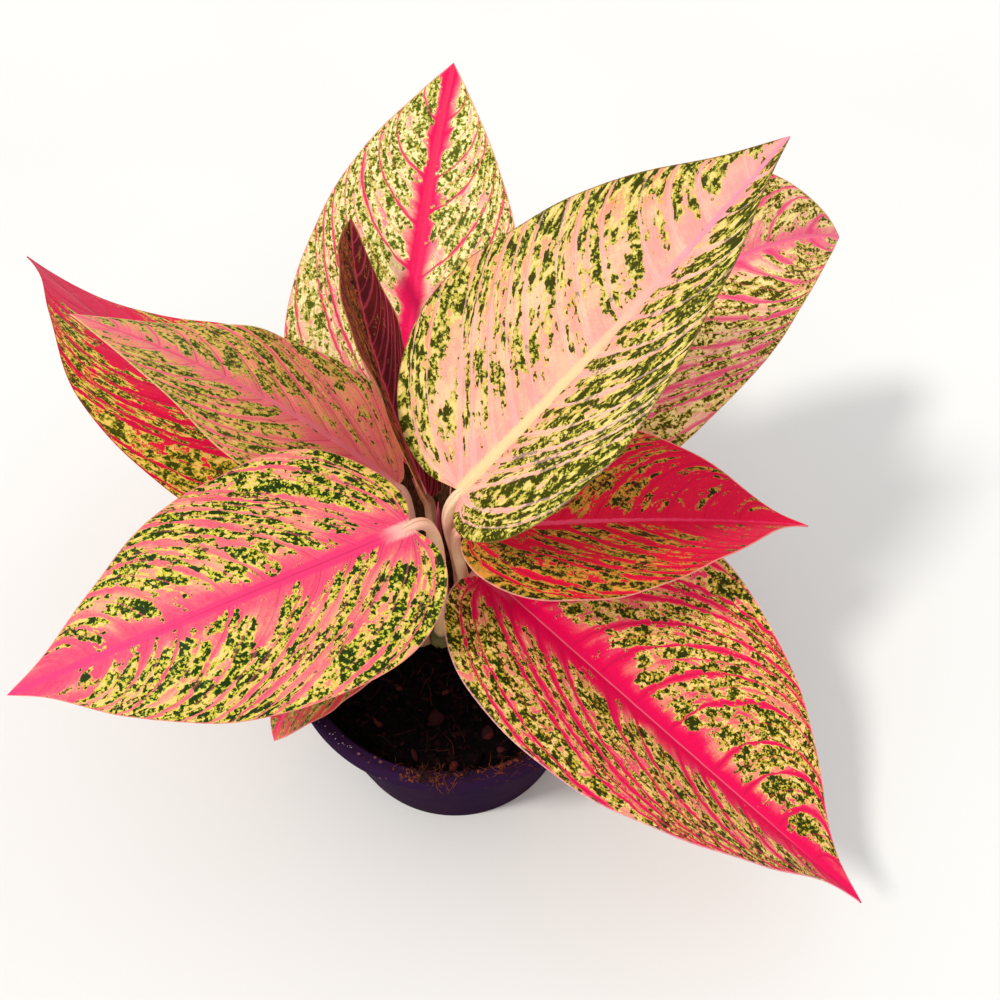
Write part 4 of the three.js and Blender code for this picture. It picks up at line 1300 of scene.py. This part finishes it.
def chunk(rng, centre, size, flatness):
    """A small irregular lump: a stretched twenty-sided ball with its corners moved at random."""
    golden = (1 + 5 ** 0.5) / 2
    corners = []
    for a in (-1, 1):
        for b in (-golden, golden):
            corners += [(0, a, b), (a, b, 0), (b, 0, a)]
    corners = np.array(corners) / 1.9
    reach = np.linalg.norm(corners[:, None] - corners[None], axis=-1)
    edge = np.sort(reach[0])[1] * 1.05
    faces = []
    for i in range(12):
        for j in range(i + 1, 12):
            for k in range(j + 1, 12):
                if max(reach[i, j], reach[j, k], reach[i, k]) >= edge:
                    continue
                across = np.cross(corners[j] - corners[i], corners[k] - corners[i])
                faces.append((i, j, k) if across @ corners[i] > 0 else (i, k, j))
    shape = corners * rng.uniform(0.75, 1.2, (12, 1)) * (1, rng.uniform(0.5, 1), flatness)
    turns = rng.uniform(-1, 1, 3) * (0.5, 0.5, math.pi)
    spin = np.array(Matrix.Rotation(turns[2], 3, "Z") @ Matrix.Rotation(turns[0], 3, "X")
                    @ Matrix.Rotation(turns[1], 3, "Y"))
    return shape @ spin.T * size + centre, faces


def fibre(rng, start, heading, length, lift, radius):
    """A thin bent root hair or coir thread lying on the soil."""
    points = [np.array(start, float)]
    turn = heading
    for i in range(FIBRE_STEPS):
        turn += rng.normal(0, FIBRE_BEND)
        rise = lift * math.cos(math.pi * (i + 0.5) / FIBRE_STEPS)
        step = np.array([*polar(1, turn), rise]) * length / FIBRE_STEPS
        points.append(points[-1] + step)
    return tube(points, lambda s, a: radius * (1 - 0.6 * s) + 0 * a, FIBRE_SIDES, (0, 0, 1))[:2]


def litter_material(name, tone, other, marked):
    g = Graph(name)
    here = g.millimetres()
    _, lucky = g.cells(here, 3.5)
    grain = g.uneven(here, 1.6, 3.0, 0.6)
    colour = g.layered(
        g.mix(lucky.above(0.2, 0.8), tone, other), ((grain * 2).above(0.1, 0.6) * 0.6, marked))
    return g.finish(colour, 0.8 + grain * 0.2, grain, 0.4 * MM, specular=0.15)


def spot_on_soil(rng, inset, least):
    """A place on the soil, evenly drawn, and the direction of it from the middle."""
    radius = (inner_radius(SOIL_LEVEL) - inset) * math.sqrt(rng.uniform(least, 1))
    turn = rng.uniform(0, 2 * math.pi)
    return *polar(radius, turn), turn


def rim_top(radius, lift, slope):
    """The rim's height there: flat outside RIM_EDGE, falling inside it."""
    if radius > RIM_EDGE:
        return POT_HEIGHT + lift
    return POT_HEIGHT - (RIM_EDGE - radius) * slope


def scatter_soil_litter():
    rng = np.random.default_rng(LITTER_SEED)
    crumbs = []
    for _ in range(CRUMB_COUNT):
        x, y, _ = spot_on_soil(rng, 3, 0.02)
        size = rng.gamma(2.2, 0.5) + 0.35
        centre = (x, y, soil_height(x, y) + size * 0.15)
        crumbs.append(chunk(rng, centre, min(size, LARGEST_CRUMB), rng.uniform(0.4, 0.8)))
    place_all("soil_crumbs", crumbs, soil_material("crumb_ground", *CRUMB_TONES), "soil")

    chips = [chunk(rng, (x, y, soil_height(x, y) + 0.6), size, 0.3) for x, y, size in BARK_CHIPS]
    place_all("bark_chips", chips, litter_material("bark_chip", *BARK_TONES), "soil")

    threads = []
    for _ in range(THREAD_COUNT):
        x, y, turn = spot_on_soil(rng, 8, 0.03)
        start = (x, y, soil_height(x, y) + 0.4)
        heading = turn + rng.uniform(1.6, 4.7)
        length, lift = rng.uniform(5, 16), rng.uniform(0, 0.35)
        threads.append(fibre(rng, start, heading, length, lift, THREAD_RADIUS))
    place_all("soil_fibres", threads, litter_material("coir_dark", *COIR_TONES), "soil")

    # Coir and crumbs that have spilled onto the rim at the front
    spilled = []
    for middle, spread, count, low, high in CRUMB_SPILLS:
        for _ in range(count):
            turn = math.radians(rng.normal(middle, spread))
            radius = rng.uniform(low, high)
            centre = (*polar(radius, turn), rim_top(radius, 0.1, 2.2))
            spilled.append(chunk(rng, centre, rng.uniform(0.25, 0.85), 0.7))
    rust = litter_material("rim_crumb", *RUST_TONES)
    place_all("rim_crumbs", spilled, rust, "soil")

    strands = []
    for middle, spread, count in FIBRE_SPILLS:
        for _ in range(count):
            turn = math.radians(rng.normal(middle, spread))
            radius = rng.uniform(62, 69.5)
            start = (*polar(radius, turn), rim_top(radius, 0.2, 2))
            heading = turn + rng.uniform(1.0, 5.2)
            length, lift = rng.uniform(2, 7), rng.uniform(0, 0.3)
            strands.append(fibre(rng, start, heading, length, lift, STRAND_RADIUS))
    for bearing, length in HANGING_THREADS:
        path = []
        for step in np.linspace(0, 1, 16):
            x, y = polar(58 + 13.2 * min(step * 1.5, 1), math.radians(bearing))
            drop = max(step - 0.66, 0) * length * 1.3
            z = POT_HEIGHT - 6 + 6.4 * math.sin(math.pi * min(step, 0.62) / 1.24) - drop
            sway = 1.6 * math.sin(5 * step + bearing)
            path.append((x + sway, y, z))
        strands.append(tube(path, lambda s, a: HANGING_RADIUS + 0 * a, FIBRE_SIDES, EAST)[:2])
    place_all("rim_fibres", strands, rust, "soil")

    # Dry pale specks along the rim at the left
    specks = []
    for _ in range(SPECK_COUNT):
        turn = math.radians(rng.uniform(-172, -122))
        centre = (*polar(rng.uniform(65, 68.6), turn), POT_HEIGHT)
        specks.append(chunk(rng, centre, rng.uniform(0.2, 0.55), 0.3))
    place_all("rim_specks", specks, litter_material("rim_speck", *SPECK_TONES), "soil")


# Floor, light and camera

def build_stage():
    corners = [(-1, -1, 0), (1, -1, 0), (1, 1, 0), (-1, 1, 0)]
    g = Graph("floor_paint")
    x, y, _ = g.coordinates()
    cloud = g.uneven(g.join(x * 3, y * 3, 0.0), 1.0, 2.0)
    colour = g.mix((cloud * 2).above(-0.8, 0.8), TONES["floor"], TONES["floor_pale"])
    paint = g.finish(colour, 0.55 + cloud * 0.05)
    make_object("floor", np.array(corners) * FLOOR_REACH, [(0, 1, 2, 3)], [paint])

    world = bpy.data.worlds.new("soft_room")
    world.use_nodes = True
    sky = world.node_tree.nodes["Background"]
    sky.inputs["Color"].default_value = SKY_COLOUR
    sky.inputs["Strength"].default_value = SKY_STRENGTH
    bpy.context.scene.world = world

    sun = bpy.data.lights.new("window", "SUN")
    sun.energy = SUN_STRENGTH
    sun.angle = math.radians(SUN_WIDTH)
    sun.color = SUN_COLOUR
    lamp = bpy.data.objects.new("window", sun)
    lamp.rotation_mode = "QUATERNION"
    lamp.rotation_quaternion = Vector(SUN_HEADING).to_track_quat("-Z", "Y")
    bpy.context.scene.collection.objects.link(lamp)


def build_camera():
    tilt = math.radians(CAMERA_PITCH)
    roll = math.radians(CAMERA_ROLL)
    forward = Vector((0, math.cos(tilt), -math.sin(tilt)))
    level = Vector(EAST)
    rise = level.cross(forward)
    right = level * math.cos(roll) + rise * math.sin(roll)
    up = rise * math.cos(roll) - level * math.sin(roll)
    lens = bpy.data.cameras.new("camera")
    lens.sensor_width = SENSOR_WIDTH
    lens.lens = LENS_LENGTH
    lens.clip_start = 0.01
    lens.clip_end = 50
    camera = bpy.data.objects.new("camera", lens)
    turn = Matrix((right, up, -forward)).transposed().to_4x4()
    camera.matrix_world = Matrix.Translation(Vector(CAMERA_PLACE) * MM) @ turn
    bpy.context.scene.collection.objects.link(camera)
    bpy.context.scene.camera = camera


build_stage()
build_camera()
build_leaves()
for leaf_name, leaf_shape in LEAVES.items():
    petiole_object(leaf_name, leaf_shape)
spike_object()
cane_object()
shade_filling_sheaths()
pot_object()
soil_object()
scatter_soil_litter()
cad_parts["roots"].data.materials.clear()
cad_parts["roots"].data.materials.append(root_material())

view = bpy.context.scene.view_settings
view.view_transform = "Standard"
view.look = "None"
